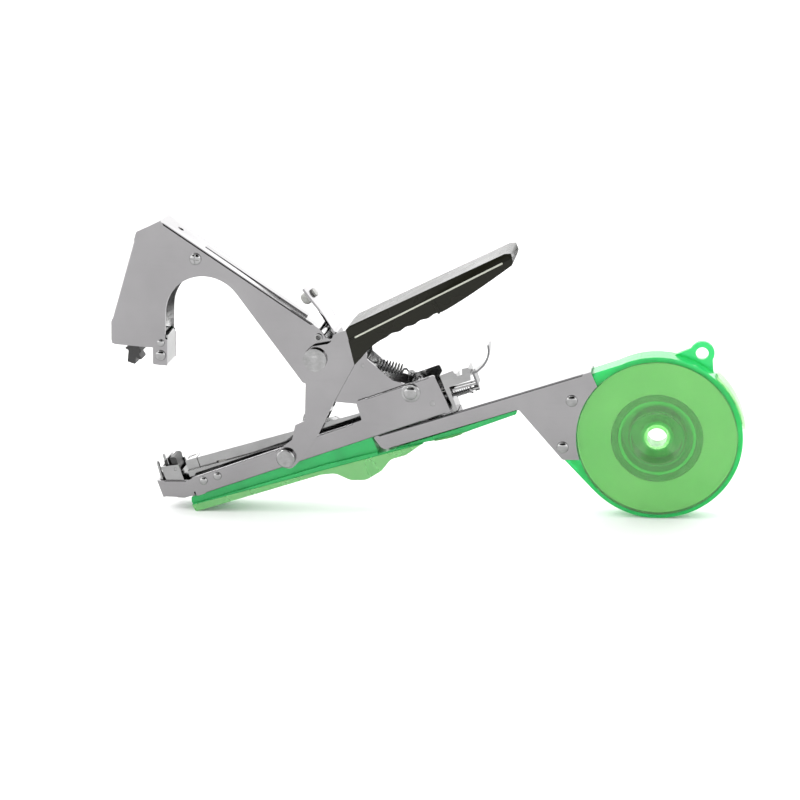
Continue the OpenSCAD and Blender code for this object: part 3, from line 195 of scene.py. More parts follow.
# %% Sky
SKY_BANDS = [(0.0, 0.3), (0.49, 0.3), (0.50, 1.2), (0.66, 1.15), (0.80, 0.9), (0.93, 0.7)]
CLOTH_WAY = Vector((-0.05, -0.72, 0.69)).normalized()
CLOTH_EDGE, CLOTH_CORE = 0.73, 0.80
SKY_STRENGTH = 2.3
sky = bpy.data.worlds.new("studio_sky")
bpy.context.scene.world = sky
sky.use_nodes = True
tree = sky.node_tree
tree.nodes.clear()
place = put(tree, "ShaderNodeTexCoord")
parts = put(tree, "ShaderNodeSeparateXYZ")
height = put(tree, "ShaderNodeMapRange", From_Min=-1.0, From_Max=1.0)
bands = ramp(tree, SKY_BANDS)
toward = put(tree, "ShaderNodeVectorMath", operation="DOT_PRODUCT")
toward.inputs[1].default_value = CLOTH_WAY
cloth = put(
    tree, "ShaderNodeMapRange", From_Min=CLOTH_EDGE, From_Max=CLOTH_CORE, To_Min=1.0, To_Max=0.0
)
veil = put(tree, "ShaderNodeVectorMath", operation="SCALE")
shine = put(tree, "ShaderNodeBackground", Strength=SKY_STRENGTH)
out = put(tree, "ShaderNodeOutputWorld")
wire(tree, place.outputs["Generated"], parts.inputs["Vector"])
wire(tree, parts.outputs["Z"], height.inputs["Value"])
wire(tree, height.outputs["Result"], bands.inputs["Fac"])
wire(tree, place.outputs["Generated"], toward.inputs[0])
wire(tree, toward.outputs["Value"], cloth.inputs["Value"])
wire(tree, bands.outputs["Color"], veil.inputs[0])
wire(tree, cloth.outputs["Result"], veil.inputs["Scale"])
wire(tree, veil.outputs["Vector"], shine.inputs["Color"])
wire(tree, shine.outputs["Background"], out.inputs["Surface"])
cloth_reach = math.degrees(math.acos(CLOTH_EDGE))
print(sky.name, "has", len(SKY_BANDS), "bands and a cloth", round(2 * cloth_reach), "degrees wide")


# %% Lamps
def sun_lamp(name, energy, angle, turn):
    """A sun; its angle, in radians, says how wide the light is and so how soft its shadows are."""
    sun = bpy.data.lights.new(name, "SUN")
    sun.energy, sun.angle = energy, angle
    lamp = bpy.data.objects.new(name, sun)
    lamp.rotation_euler = turn
    bpy.context.collection.objects.link(lamp)
    print(name, "strength", energy, "width", round(math.degrees(angle)), "degrees")


STRIP_WAY = Vector((-0.62, -0.12, 0.78))
SOFT_TURN = (math.radians(32), math.radians(-18), 0)
sun_lamp("soft_sun", energy=0.5, angle=0.9, turn=SOFT_TURN)
sun_lamp("strip_lamp", energy=0.35, angle=0.22, turn=STRIP_WAY.to_track_quat("Z", "Y").to_euler())

# %% [markdown]
# ## Shared effects
# Plating is never quite even: fingers leave dull clouds on it and use leaves hair scratches.
# One group makes both from the object's own coordinates, and each metal then takes it with its
# own colours and dullness. Moulded plastic has flow marks and a spark-eroded grain, which is the
# second group. Either could be painted as an image, but noise has no seams and costs nothing.


# %% Group maker
def shader_group(name, inputs, outputs):
    """An empty group with named sockets, its start and its end."""
    made = bpy.data.node_groups.new(name, "ShaderNodeTree")
    for label, kind, value in inputs:
        made.interface.new_socket(label, in_out="INPUT", socket_type=kind).default_value = value
    for label, kind in outputs:
        made.interface.new_socket(label, in_out="OUTPUT", socket_type=kind)
    return made, made.nodes.new("NodeGroupInput"), made.nodes.new("NodeGroupOutput")


COLOUR, NUMBER = "NodeSocketColor", "NodeSocketFloat"

# %% Handled metal
handled, start, end = shader_group(
    "handled_metal",
    [
        ("Clean", COLOUR, (0.6, 0.6, 0.6, 1)),
        ("Rubbed", COLOUR, (0.5, 0.5, 0.5, 1)),
        ("Cloud Scale", NUMBER, 25.0),
        ("Scratch Scale", NUMBER, 900.0),
        ("Polish", NUMBER, 0.12),
        ("Dullness", NUMBER, 0.3),
    ],
    [("Color", COLOUR), ("Roughness", NUMBER), ("Height", NUMBER)],
)
SCRATCH_STRETCH = (0.035, 1, 1)
SCRATCH_SHARE = 0.25
place = put(handled, "ShaderNodeTexCoord")
clouds = put(handled, "ShaderNodeTexNoise", Detail=4.0, Roughness=0.6)
turned = put(handled, "ShaderNodeMapping", Rotation=(0, slope, 0), Scale=SCRATCH_STRETCH)
hairs = put(handled, "ShaderNodeTexNoise", Detail=3.0, Roughness=0.7)
hair_mask = ramp(handled, [(0.52, 0.0), (0.70, 1.0)])
cloud_mask = ramp(handled, [(0.35, 0.0), (0.72, 1.0)])
blend = put(handled, "ShaderNodeMath", operation="MULTIPLY_ADD")
blend.inputs[1].default_value = SCRATCH_SHARE
spread = put(handled, "ShaderNodeMapRange")
tint = put(handled, "ShaderNodeMix", data_type="RGBA")
wire(handled, place.outputs["Object"], clouds.inputs["Vector"])
wire(handled, start.outputs["Cloud Scale"], clouds.inputs["Scale"])
wire(handled, place.outputs["Object"], turned.inputs["Vector"])
wire(handled, turned.outputs["Vector"], hairs.inputs["Vector"])
wire(handled, start.outputs["Scratch Scale"], hairs.inputs["Scale"])
wire(handled, clouds.outputs["Fac"], cloud_mask.inputs["Fac"])
wire(handled, hairs.outputs["Fac"], hair_mask.inputs["Fac"])
wire(handled, hair_mask.outputs["Color"], blend.inputs[0])
wire(handled, cloud_mask.outputs["Color"], blend.inputs[2])
wire(handled, blend.outputs["Value"], spread.inputs["Value"])
wire(handled, start.outputs["Polish"], spread.inputs["To Min"])
wire(handled, start.outputs["Dullness"], spread.inputs["To Max"])
wire(handled, blend.outputs["Value"], tint.inputs["Factor"])
wire(handled, start.outputs["Clean"], tint.inputs["A"])
wire(handled, start.outputs["Rubbed"], tint.inputs["B"])
wire(handled, tint.outputs["Result"], end.inputs["Color"])
wire(handled, spread.outputs["Result"], end.inputs["Roughness"])
wire(handled, hairs.outputs["Fac"], end.inputs["Height"])
print(handled.name, "has", len(handled.nodes), "nodes")

# %% Moulded grain
moulded, start, end = shader_group(
    "moulded_grain",
    [
        ("Deep", COLOUR, (0.1, 0.5, 0.2, 1)),
        ("Pale", COLOUR, (0.3, 0.8, 0.4, 1)),
        ("Flow Scale", NUMBER, 30.0),
        ("Grain Scale", NUMBER, 1500.0),
        ("Gloss", NUMBER, 0.25),
        ("Matt", NUMBER, 0.4),
    ],
    [("Color", COLOUR), ("Roughness", NUMBER), ("Height", NUMBER)],
)
place = put(moulded, "ShaderNodeTexCoord")
flow = put(moulded, "ShaderNodeTexNoise", Detail=3.0, Distortion=0.6)
grain = put(moulded, "ShaderNodeTexNoise", Detail=2.0)
tint = put(moulded, "ShaderNodeMix", data_type="RGBA")
spread = put(moulded, "ShaderNodeMapRange", From_Min=0.3, From_Max=0.7)
wire(moulded, place.outputs["Object"], flow.inputs["Vector"])
wire(moulded, place.outputs["Object"], grain.inputs["Vector"])
wire(moulded, start.outputs["Flow Scale"], flow.inputs["Scale"])
wire(moulded, start.outputs["Grain Scale"], grain.inputs["Scale"])
wire(moulded, flow.outputs["Fac"], tint.inputs["Factor"])
wire(moulded, start.outputs["Deep"], tint.inputs["A"])
wire(moulded, start.outputs["Pale"], tint.inputs["B"])
wire(moulded, flow.outputs["Fac"], spread.inputs["Value"])
wire(moulded, start.outputs["Gloss"], spread.inputs["To Min"])
wire(moulded, start.outputs["Matt"], spread.inputs["To Max"])
wire(moulded, tint.outputs["Result"], end.inputs["Color"])
wire(moulded, spread.outputs["Result"], end.inputs["Roughness"])
wire(moulded, grain.outputs["Fac"], end.inputs["Height"])
print(moulded.name, "has", len(moulded.nodes), "nodes")


# %% [markdown]
# ## Finishes
# Each finish is the same short recipe: an effect group feeds colour, roughness and a shallow
# bump, while the plain numbers stay on the shader itself. A finish could be set by hand in the
# shader editor, but a recipe keeps the whole family alike. The steels differ in how bright and
# how clean they are. The nickel and the zinc are darker than real plating, because a true value
# comes out too pale under this white sky. The green plastic lets light through, which is what
# makes it glow: its thick edges are deep in colour and its broad thin faces are pale.


# %% Finish maker
finish_names = []


def finish(name, effect, depth, sizes, **shader):
    """A material around one effect group; depth is the height of its bump, in metres."""
    made = bpy.data.materials.new(name)
    finish_names.append(made.name)
    made.use_nodes = True
    tree = made.node_tree
    coat = tree.nodes["Principled BSDF"]
    for label, value in shader.items():
        coat.inputs[label.replace("_", " ")].default_value = value
    source = tree.nodes.new("ShaderNodeGroup")
    source.node_tree = effect
    for label, value in sizes.items():
        source.inputs[label.replace("_", " ")].default_value = value
    bump = put(tree, "ShaderNodeBump", Strength=1.0, Distance=depth)
    wire(tree, source.outputs["Color"], coat.inputs["Base Color"])
    wire(tree, source.outputs["Roughness"], coat.inputs["Roughness"])
    wire(tree, source.outputs["Height"], bump.inputs["Height"])
    wire(tree, bump.outputs["Normal"], coat.inputs["Normal"])
    return made


# %% Steels
bright_steel = finish(
    "bright_nickel", handled, 0.000003,
    {"Clean": (0.28, 0.275, 0.28, 1), "Rubbed": (0.25, 0.245, 0.25, 1), "Polish": 0.08,
     "Dullness": 0.2},
    Metallic=1.0,
)
roof_steel = finish(
    "brushed_nickel", handled, 0.00001,
    {"Clean": (0.30, 0.30, 0.30, 1), "Rubbed": (0.24, 0.24, 0.24, 1), "Cloud_Scale": 60.0,
     "Polish": 0.07, "Dullness": 0.2},
    Metallic=1.0,
)
screw_steel = finish(
    "zinc_plate", handled, 0.000008,
    {"Clean": (0.33, 0.33, 0.33, 1), "Rubbed": (0.22, 0.22, 0.22, 1), "Cloud_Scale": 200.0,
     "Polish": 0.06, "Dullness": 0.18},
    Metallic=1.0,
)
spring_steel = finish(
    "spring_wire", handled, 0.000005,
    {"Clean": (0.22, 0.22, 0.22, 1), "Rubbed": (0.12, 0.12, 0.12, 1), "Cloud_Scale": 150.0,
     "Polish": 0.15, "Dullness": 0.3},
    Metallic=1.0,
)
# The finger leaf's steel is darker than the other steels.
dark_leaf_steel = finish(
    "dark_leaf", handled, 0.000005,
    {"Clean": (0.10, 0.10, 0.105, 1), "Rubbed": (0.2, 0.2, 0.2, 1), "Cloud_Scale": 150.0,
     "Polish": 0.1, "Dullness": 0.3},
    Metallic=1.0,
)
staple_steel = finish(
    "staple_wire", handled, 0.000004,
    {"Clean": (0.7, 0.69, 0.66, 1), "Rubbed": (0.5, 0.49, 0.46, 1), "Cloud_Scale": 200.0},
    Metallic=1.0,
)
print("steels", finish_names)

# %% [markdown]
# ## The insides of the channels
# Inside a bent channel the two walls throw the light back and forth, so real plating stays light
# in there. The dark colour that gives the outsides their grey would turn the insides black, so the
# walls that look inwards get a lighter colour: painted light for the light thrown between them.
# Each half of the tool lies on one side of its middle plane, so a face looks inwards where its side
# and the way it faces have opposite signs, and the shader can work that out by itself.

# %% Lighter insides
INSIDE_FROM = 2 * MM
# The lighter inside colour is painted light, for the light that the walls throw between them.
INSIDE_COLOUR = (0.85, 0.85, 0.85, 1)
tree = bright_steel.node_tree
coat = tree.nodes["Principled BSDF"]
outside_colour = coat.inputs["Base Color"].links[0].from_socket
place = put(tree, "ShaderNodeTexCoord")
side_of = put(tree, "ShaderNodeSeparateXYZ")
facing = put(tree, "ShaderNodeNewGeometry")
facing_of = put(tree, "ShaderNodeSeparateXYZ")
outward = put(tree, "ShaderNodeMath", operation="MULTIPLY")
inward = put(tree, "ShaderNodeMath", operation="LESS_THAN")
inward.inputs[1].default_value = -INSIDE_FROM
lighter = put(tree, "ShaderNodeMix", data_type="RGBA")
lighter.inputs["B"].default_value = INSIDE_COLOUR
wire(tree, place.outputs["Object"], side_of.inputs["Vector"])
wire(tree, facing.outputs["Normal"], facing_of.inputs["Vector"])
wire(tree, side_of.outputs["Y"], outward.inputs[0])
wire(tree, facing_of.outputs["Y"], outward.inputs[1])
wire(tree, outward.outputs["Value"], inward.inputs[0])
wire(tree, inward.outputs["Value"], lighter.inputs["Factor"])
wire(tree, outside_colour, lighter.inputs["A"])
wire(tree, lighter.outputs["Result"], coat.inputs["Base Color"])
print(bright_steel.name, "turns light on walls that look inwards")

# %% Plastics and rubber
shell_green = finish(
    "clear_green", moulded, 0.000003,
    {"Deep": (0.02, 0.66, 0.16, 1), "Pale": (0.06, 0.74, 0.23, 1), "Gloss": 0.14, "Matt": 0.24},
    Transmission_Weight=0.6, IOR=1.38,
)
face_green = finish(
    "clear_green_face", moulded, 0.000003,
    {"Deep": (0.40, 0.84, 0.37, 1), "Pale": (0.50, 0.90, 0.44, 1), "Gloss": 0.14, "Matt": 0.24},
    Transmission_Weight=0.88, IOR=1.38,
)
grip_green = finish(
    "hand_green", moulded, 0.00001,
    {"Deep": (0.01, 0.42, 0.09, 1), "Pale": (0.04, 0.55, 0.16, 1), "Gloss": 0.25, "Matt": 0.4},
    Transmission_Weight=0.35, IOR=1.45,
)
# The hub's green is near full brightness: its own bright colour, raised as painted light for the
# light that shines through the plastic into the deep hub.
core_green = finish(
    "core_green", moulded, 0.00001,
    {"Deep": (0.02, 0.97, 0.25, 1), "Pale": (0.06, 0.99, 0.32, 1), "Gloss": 0.3, "Matt": 0.45},
    Transmission_Weight=0.1, IOR=1.45,
)
# The tube's dark green is painted shade for the shaded ring round the hub.
card_tube_painted_shade = finish(
    "card_tube_painted_shade", moulded, 0.00002,
    {"Deep": (0.03, 0.30, 0.05, 1), "Pale": (0.05, 0.36, 0.07, 1), "Gloss": 0.5, "Matt": 0.7},
)
# The paler green of the belly is painted light, for the light that falls on the wider lower part of
# the grip.
hand_pale = finish(
    "hand_green_painted_light", moulded, 0.00001,
    {"Deep": (0.22, 0.74, 0.24, 1), "Pale": (0.45, 0.86, 0.38, 1), "Flow_Scale": 45.0,
     "Gloss": 0.2, "Matt": 0.35},
    Transmission_Weight=0.55, IOR=1.45,
)
tape_film = finish(
    "tape_film", moulded, 0.00002,
    {"Deep": (0.86, 0.93, 0.80, 1), "Pale": (0.92, 0.96, 0.86, 1), "Gloss": 0.35, "Matt": 0.5},
)
# The ridge's pale colour is a painted highlight: it stands for the line of light along the grip's
# ledge.
ridge_shine = finish(
    "ridge_painted_highlight", moulded, 0.00001,
    {"Deep": (0.34, 0.35, 0.29, 1), "Pale": (0.55, 0.56, 0.48, 1), "Gloss": 0.15, "Matt": 0.3},
)
grip_black = finish(
    "grip_black", moulded, 0.00003,
    {"Deep": (0.006, 0.006, 0.003, 1), "Pale": (0.012, 0.012, 0.007, 1), "Gloss": 0.2,
     "Matt": 0.32, "Grain_Scale": 2500.0},
    Specular_IOR_Level=0.18,
)
rubber_black = finish(
    "rubber_black", moulded, 0.00003,
    {"Deep": (0.01, 0.01, 0.01, 1), "Pale": (0.03, 0.03, 0.03, 1), "Gloss": 0.4, "Matt": 0.6},
)
rubber_grey = finish(
    "rubber_grey", moulded, 0.00002,
    {"Deep": (0.35, 0.35, 0.33, 1), "Pale": (0.5, 0.5, 0.48, 1), "Gloss": 0.35, "Matt": 0.5},
    Transmission_Weight=0.3,
)
floor_white = finish(
    "table_paint", moulded, 0.00001,
    {"Deep": (0.96, 0.96, 0.96, 1), "Pale": (0.98, 0.98, 0.98, 1), "Gloss": 0.55, "Matt": 0.7},
    Specular_IOR_Level=0.1,
)
table.data.materials.append(floor_white)
print("all", len(finish_names), "finishes are made")

# %% [markdown]
# ## Who wears what
# Every node but the return spring, which has a step of its own, gets one finish here, and says
# how far its cut edges are rounded, in millimetres. A pressed channel also has folds, where the
# sheet turns from the web into a wall: these have a wider radius, and their bright and dark lines
# are what makes bent sheet look bent. The plunger spring, the staples, the clear shells and the
# roll keep the frame's own mesh, because their edges are too fine to round or are hidden.

# %% Finishes of the nodes
WEAR = {
    "channels": (bright_steel, 0.2, "rear_frame arm_shell handle_frame"),
    "nickel": (bright_steel, 0.2, "front_frame nose_housing"),
    "brushed": (roof_steel, 0.12, "nose_cap magazine_channel magazine_cover clincher staple_driver "
                "lift_leaf pusher_shoe pusher_bars hinge_leaf tape_lip rear_block"),
    "zinc": (screw_steel, 0.12, "nose_rivets clamp_pin magazine_pin arm_pivot_pin spring_anchor "
             "handle_studs frame_rivets case_screws lid_hinge_pin jaw_screws arm_screw arm_knuckle "
             "spring_pin catch_bracket catch_pin cam_pin grip_screws plunger blade_holder "
             "cutter_blade"),
    "wire": (spring_steel, 0, "plunger_spring"),
    "leaf": (dark_leaf_steel, 0.12, "finger_leaf"),
    "staple": (staple_steel, 0, "staple_strip"),
    "shell": (shell_green, 0, "reel_case"),
    "window": (face_green, 0, "case_face case_lid"),
    "hand": (grip_green, 0.4, "hand_grip"),
    "core": (core_green, 0.2, "reel_core"),
    "tape": (tape_film, 0, "tape_roll"),
    "grip": (grip_black, 0.5, "handle_grip"),
    "rubber": (rubber_black, 0.2, "tape_catch tape_clamp nose_pad"),
    "bumper": (rubber_grey, 0.3, "tongue_bumper"),
}
FOLD = {"channels": 1.1, "nickel": 0.9}
bodies = frame["record"]["behaviour"]["bodies"]
body_of = {node: body for body, members in bodies.items() for node in members}
dressed = [node for _, _, members in WEAR.values() for node in members.split()]
print(len(dressed), "nodes share", len(WEAR), "finishes")


# %% Copies to work on
MERGE = 0.000002


def lone(thing):
    """Selects one object and nothing else."""
    bpy.ops.object.select_all(action="DESELECT")
    thing.select_set(True)
    bpy.context.view_layer.objects.active = thing


def merged_copy(node, name):
    """A free copy of a node's mesh, with its loose triangles joined at their corners."""
    piece = nodes[node].copy()
    piece.data = nodes[node].data.copy()
    bpy.context.collection.objects.link(piece)
    piece.name = name
    piece.parent = None
    piece.hide_render = piece.hide_viewport = False
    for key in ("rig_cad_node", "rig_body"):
        del piece[key]
    lone(piece)
    bpy.ops.mesh.customdata_custom_splitnormals_clear()
    bpy.ops.object.mode_set(mode="EDIT")
    bpy.ops.mesh.select_all(action="SELECT")
    bpy.ops.mesh.remove_doubles(threshold=MERGE)
    bpy.ops.object.mode_set(mode="OBJECT")
    return piece


# %% [markdown]
# ## Folds of bent sheet
# A press turns the sheet round a radius, so the outer line of a channel is soft and its cut
# edges are crisp. One bevel can't do both. The folds are found first: over a long way, a flat
# wall meets the web at a steep angle, or meets the thin top of its own sheet where the web lies
# lower. A plain strip is cut along each fold, because holes and slots near the line would tangle
# the bevel, and only the middle of the fold gets a weight, so that its ends run out smoothly.

# %% Finding the folds
FOLD_RUN, LIP_RUN = 12 * MM, 40 * MM
WIDE_WEB, SHEET_WEB = 8 * MM, 1.15 * MM
STRIP, RUN_OUT = 1.5 * MM, 2.5 * MM
STEEP = math.radians(60)
SIDEWAYS, NOT_SIDEWAYS, UPWARDS = 0.95, 0.05, 0.3
SAME_WAY, SAME_LEVEL = 0.999, 0.01 * MM
ON_CUT, OFF_CUT = 1e-7, 1e-6


def clear_strip(shape, wall, web):
    """Cuts a plain strip along a fold, so that nothing in the wall is in the way of its bevel."""
    edge_place, flat, out = web.verts[0].co.copy(), wall.normal.copy(), web.normal.copy()
    level = wall.verts[0].co.y
    level_faces = [
        face for face in shape.faces
        if face.normal.dot(flat) > SAME_WAY and abs(face.verts[0].co.y - level) < SAME_LEVEL
    ]
    line = edge_place - out * STRIP
    parts = set(level_faces)
    for face in level_faces:
        parts.update(face.edges)
        parts.update(face.verts)
    bmesh.ops.bisect_plane(shape, geom=list(parts), dist=ON_CUT, plane_co=line, plane_no=out)
    idle = []
    for edge in shape.edges:
        reach = [(corner.co - line).dot(out) for corner in edge.verts]
        if (
            len(edge.link_faces) == 2
            and min(reach) > -OFF_CUT
            and max(reach) > OFF_CUT
            and all(face.normal.dot(flat) > SAME_WAY for face in edge.link_faces)
            and abs(edge.verts[0].co.y - level) < SAME_LEVEL
        ):
            idle.append(edge)
    bmesh.ops.dissolve_edges(shape, edges=idle, use_verts=False)


def long_folds(shape):
    """Every long outer fold of a sheet, with the wall and the web that meet in it."""
    found = []
    for edge in shape.edges:
        if len(edge.link_faces) != 2 or edge.calc_face_angle() < STEEP:
            continue
        wall, web = sorted(edge.link_faces, key=lambda face: -abs(face.normal.y))
        across_web = [corner.co.y for corner in web.verts]
        spread = max(across_web) - min(across_web)
        long_enough = edge.calc_length() > (FOLD_RUN if spread > WIDE_WEB else LIP_RUN)
        outside = wall.normal.y * edge.verts[0].co.y > 0 and web.normal.z > UPWARDS
        if (
            abs(wall.normal.y) > SIDEWAYS
            and abs(web.normal.y) < NOT_SIDEWAYS
            and (spread > WIDE_WEB or (outside and spread > SHEET_WEB))
            and long_enough
            and edge.is_convex
        ):
            found.append((edge, wall, web))
    return found


def mark_folds(piece):
    """Gives the long outer folds of a pressed sheet a bevel weight, all but their last stretch."""
    shape = bmesh.new()
    shape.from_mesh(piece.data)
    weight = shape.edges.layers.float.new("bevel_weight_edge")
    for _, wall, web in long_folds(shape):
        if wall.is_valid and web.is_valid:
            clear_strip(shape, wall, web)
    folds = [edge for edge, _, _ in long_folds(shape)]
    for edge in folds:
        share = RUN_OUT / edge.calc_length()
        rest, _ = bmesh.utils.edge_split(edge, edge.verts[0], share)
        middle = edge if edge.calc_length() > rest.calc_length() else rest
        rest, _ = bmesh.utils.edge_split(middle, middle.verts[0], share)
        ends = sorted((middle, rest), key=lambda part: part.calc_length())
        rest, _ = bmesh.utils.edge_split(ends[1], ends[1].verts[1], share)
        longest = max((ends[1], rest), key=lambda part: part.calc_length())
        longest[weight] = 1
    shape.to_mesh(piece.data)
    shape.free()
    return len(folds)


# %% [markdown]
# ## Rounded copies
# A node's mesh is loose triangles with knife-sharp edges. A copy is merged into whole faces, its
# folds are bevelled by their weight and then its other edges by their angle. Normals weighted by
# area keep the broad faces flat between the narrow bevels. The copy rides on the node's body and
# is shown in its place.

# %% Rounding
FLAT = math.radians(0.5)
FOLD_STEPS, EDGE_STEPS = 5, 2
EDGE_ANGLE = math.radians(30)
BROAD_FACES_RULE = 100


def bevelled(piece, name, width, segments, limit_method, **settings):
    """Applies one bevel, its width in millimetres."""
    bevel = piece.modifiers.new(name, "BEVEL")
    bevel.width, bevel.segments, bevel.limit_method = width * MM, segments, limit_method
    for setting, value in settings.items():
        setattr(bevel, setting, value)
    bpy.ops.object.modifier_apply(modifier=bevel.name)


def rounded(node, reach, fold_reach):
    """A copy of a node with its triangles merged into faces, and its folds and edges rounded."""
    piece = merged_copy(node, node + "_rounded")
    bpy.ops.object.mode_set(mode="EDIT")
    bpy.ops.mesh.select_all(action="SELECT")
    bpy.ops.mesh.dissolve_limited(angle_limit=FLAT)
    bpy.ops.object.mode_set(mode="OBJECT")
    bpy.ops.object.shade_smooth()
    folds = mark_folds(piece) if fold_reach else 0
    if folds:
        print(node, "has", folds, "long folds")
        bevelled(piece, "folds", fold_reach, FOLD_STEPS, "WEIGHT", use_clamp_overlap=False)
    bevelled(piece, "edges", reach, EDGE_STEPS, "ANGLE", angle_limit=EDGE_ANGLE)
    even = piece.modifiers.new("even_shading", "WEIGHTED_NORMAL")
    even.weight = BROAD_FACES_RULE
    bpy.ops.object.modifier_apply(modifier=even.name)
    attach(piece, body_of[node])
    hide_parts(node)
    return piece


# %% Dressing the nodes
for kind, (look, reach, members) in WEAR.items():
    for node in members.split():
        shown = rounded(node, reach, FOLD.get(kind)) if reach else nodes[node]
        shown.data.materials.clear()
        shown.data.materials.append(look)
        print(node, look.name, len(shown.data.polygons))

# %% [markdown]
# ## The leaf that lifts the magazine
# The leaf spring under the magazine is bowed at rest and is pressed flatter as the magazine goes
# down. A stiff copy would cut into the magazine, and a leaf on a hinge of its own would be one
# joint more than the tool has. Here the leaf's lowest point, its foot, is found and the leaf is
# given a mesh of its own.

# %% Leaf spring's foot
leaf = bpy.data.objects["lift_leaf_rounded"]
foot = min((corner.co for corner in leaf.data.vertices), key=lambda spot: spot.dot(square)).copy()
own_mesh(leaf)

# %% [markdown]
# ## The return spring
# The spring pulls the upper arm open: one eye sits on the arm, the other on the frame, so it has
# to stretch when the arm closes. A new coil could be spun with a screw modifier, but the frame
# already has one with the right turns. A copy of it is made a little wider between its eyes.

# %% Return spring
COIL_WIDER = 1.22
EYE_REACH = 5 * MM
hook_low, hook_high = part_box("spring_pin")
tail_low, tail_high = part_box("spring_anchor")
hook, tail = (hook_low + hook_high) / 2, (tail_low + tail_high) / 2
hook.y = tail.y = 0
pull = (tail - hook).normalized()
coil = merged_copy("return_spring", "return_coil")
for corner in coil.data.vertices:
    along_pull = pull * (corner.co - hook).dot(pull)
    off_axis = corner.co - hook - along_pull
    middle = min((corner.co - hook).dot(pull), (tail - corner.co).dot(pull)) > EYE_REACH
    corner.co = hook + along_pull + off_axis * (COIL_WIDER if middle else 1.0)
bpy.ops.object.shade_smooth()
coil.data.materials.clear()
coil.data.materials.append(spring_steel)
print("the spring runs over", round((tail - hook).length / MM, 1), "mm")
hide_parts("return_spring")
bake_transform(coil)

# %% [markdown]
# ## The swelling of the black grip
# Below a line that runs from the web to the tip, the moulded grip is wider, and the ledge on top
# of this swelling catches the light. It could be drawn as an outline and extruded, but the grip
# already has the right outline: a copy is cut along the line, its lower half kept and widened.
# A small rib crosses it halfway. A thin pale ridge along the ledge stands for the line of light
# on it, which the soft light here doesn't draw.

# %% Grip helpers
GRIP_LEAN = math.radians(6.2)
GRIP_ROOT = (-20, 41.4)
NEW_EDGE_STEPS = 3
NEW_EDGE_ANGLE = math.radians(35)


def on_grip(u, v, y=0.0):
    """Row place of a point u along the grip and v above its axis, in millimetres, at rest."""
    x = GRIP_ROOT[0] + u * math.cos(GRIP_LEAN) - v * math.sin(GRIP_LEAN)
    z = GRIP_ROOT[1] + u * math.sin(GRIP_LEAN) + v * math.cos(GRIP_LEAN)
    return at(x, y, z)


def lower_half(node, name, start, stop, widening):
    """A copy of a node below the line from start to stop, made wider across the tool."""
    piece = merged_copy(node, name)
    upward = (stop - start).cross(across).normalized()
    bpy.ops.object.mode_set(mode="EDIT")
    bpy.ops.mesh.select_all(action="SELECT")
    bpy.ops.mesh.bisect(plane_co=start, plane_no=upward, use_fill=True, clear_outer=True)
    bpy.ops.mesh.select_all(action="SELECT")
    bpy.ops.transform.resize(value=(1, widening, 1))
    bpy.ops.mesh.dissolve_limited(angle_limit=FLAT)
    bpy.ops.object.mode_set(mode="OBJECT")
    return piece


def finished(piece, name, look, body, edge):
    """Names a new piece, rounds its edges, gives it its finish and lets it ride on a body."""
    lone(piece)
    piece.name = name
    bpy.ops.object.transform_apply(location=True, rotation=True, scale=True)
    bpy.ops.object.shade_smooth()
    bevelled(
        piece, "edges", edge, NEW_EDGE_STEPS, "ANGLE", angle_limit=NEW_EDGE_ANGLE,
        harden_normals=True,
    )
    piece.data.materials.clear()
    piece.data.materials.append(look)
    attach(piece, body)
    print(name, len(piece.data.polygons), "faces")


# %% Grip swelling
SWELLING = 1.07
LEDGE_ROOT, LEDGE_TIP = on_grip(1, -3.0), on_grip(96, 0.4)
BOTH_SIDES = ((-1, "near"), (1, "far"))
swelling = lower_half("handle_grip", "grip_swelling", LEDGE_ROOT, LEDGE_TIP, SWELLING)
finished(swelling, "grip_swelling", grip_black, "handle", edge=0.7)
grip_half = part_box("handle_grip")[1].y / MM * SWELLING
print("the swelling is", round(2 * grip_half, 1), "mm wide")

# %% Moulded rib on the black grip
RIB_PLACE = (50, -6.2)
RIB_SIZE = (1.4 * MM, 1.2 * MM, 8 * MM)
RIB_SUNK = 0.15
for side, word in BOTH_SIDES:
    middle = on_grip(*RIB_PLACE, side * (grip_half - RIB_SUNK))
    bpy.ops.mesh.primitive_cube_add(size=1, location=middle)
    rib = bpy.context.object
    rib.scale = RIB_SIZE
    rib.rotation_euler = (0, -slope - GRIP_LEAN, 0)
    finished(rib, "grip_rib_" + word, grip_black, "handle", edge=0.3)

# %% Ridge of the swelling
RIDGE_ENDS = ((3, -3.1), (92, 0.0))
RIDGE_RADIUS = 0.5 * MM
RIDGE_SUNK = 0.3
for side, word in BOTH_SIDES:
    first, last = (on_grip(u, v, side * (grip_half - RIDGE_SUNK)) for u, v in RIDGE_ENDS)
    bpy.ops.mesh.primitive_cylinder_add(
        vertices=24, radius=RIDGE_RADIUS, depth=(last - first).length, location=(first + last) / 2,
        rotation=(last - first).to_track_quat("Z", "Y").to_euler(),
    )
    ridge = bpy.context.object
    finished(ridge, "grip_ridge_" + word, ridge_shine, "handle", edge=0.2)

# %% [markdown]
# ## The belly of the hand grip
# The lower part of the clear hand grip is paler than its bar: the paler green is painted light, for
# the light that falls on this wider lower part.
# One material that fades from one green to the other could show it, but the two meet in a clear
# line. So the lower half is cut from a copy along that line and made a little wider.

# %% Paler belly of the hand grip
BELLY_WIDER = 1.05
BELLY_TOE, BELLY_HEEL = at(-142, 0, -23.2), at(30, 0, -30.5)
belly = lower_half("hand_grip", "hand_belly", BELLY_TOE, BELLY_HEEL, BELLY_WIDER)
finished(belly, "hand_belly", hand_pale, "frame", edge=0.5)

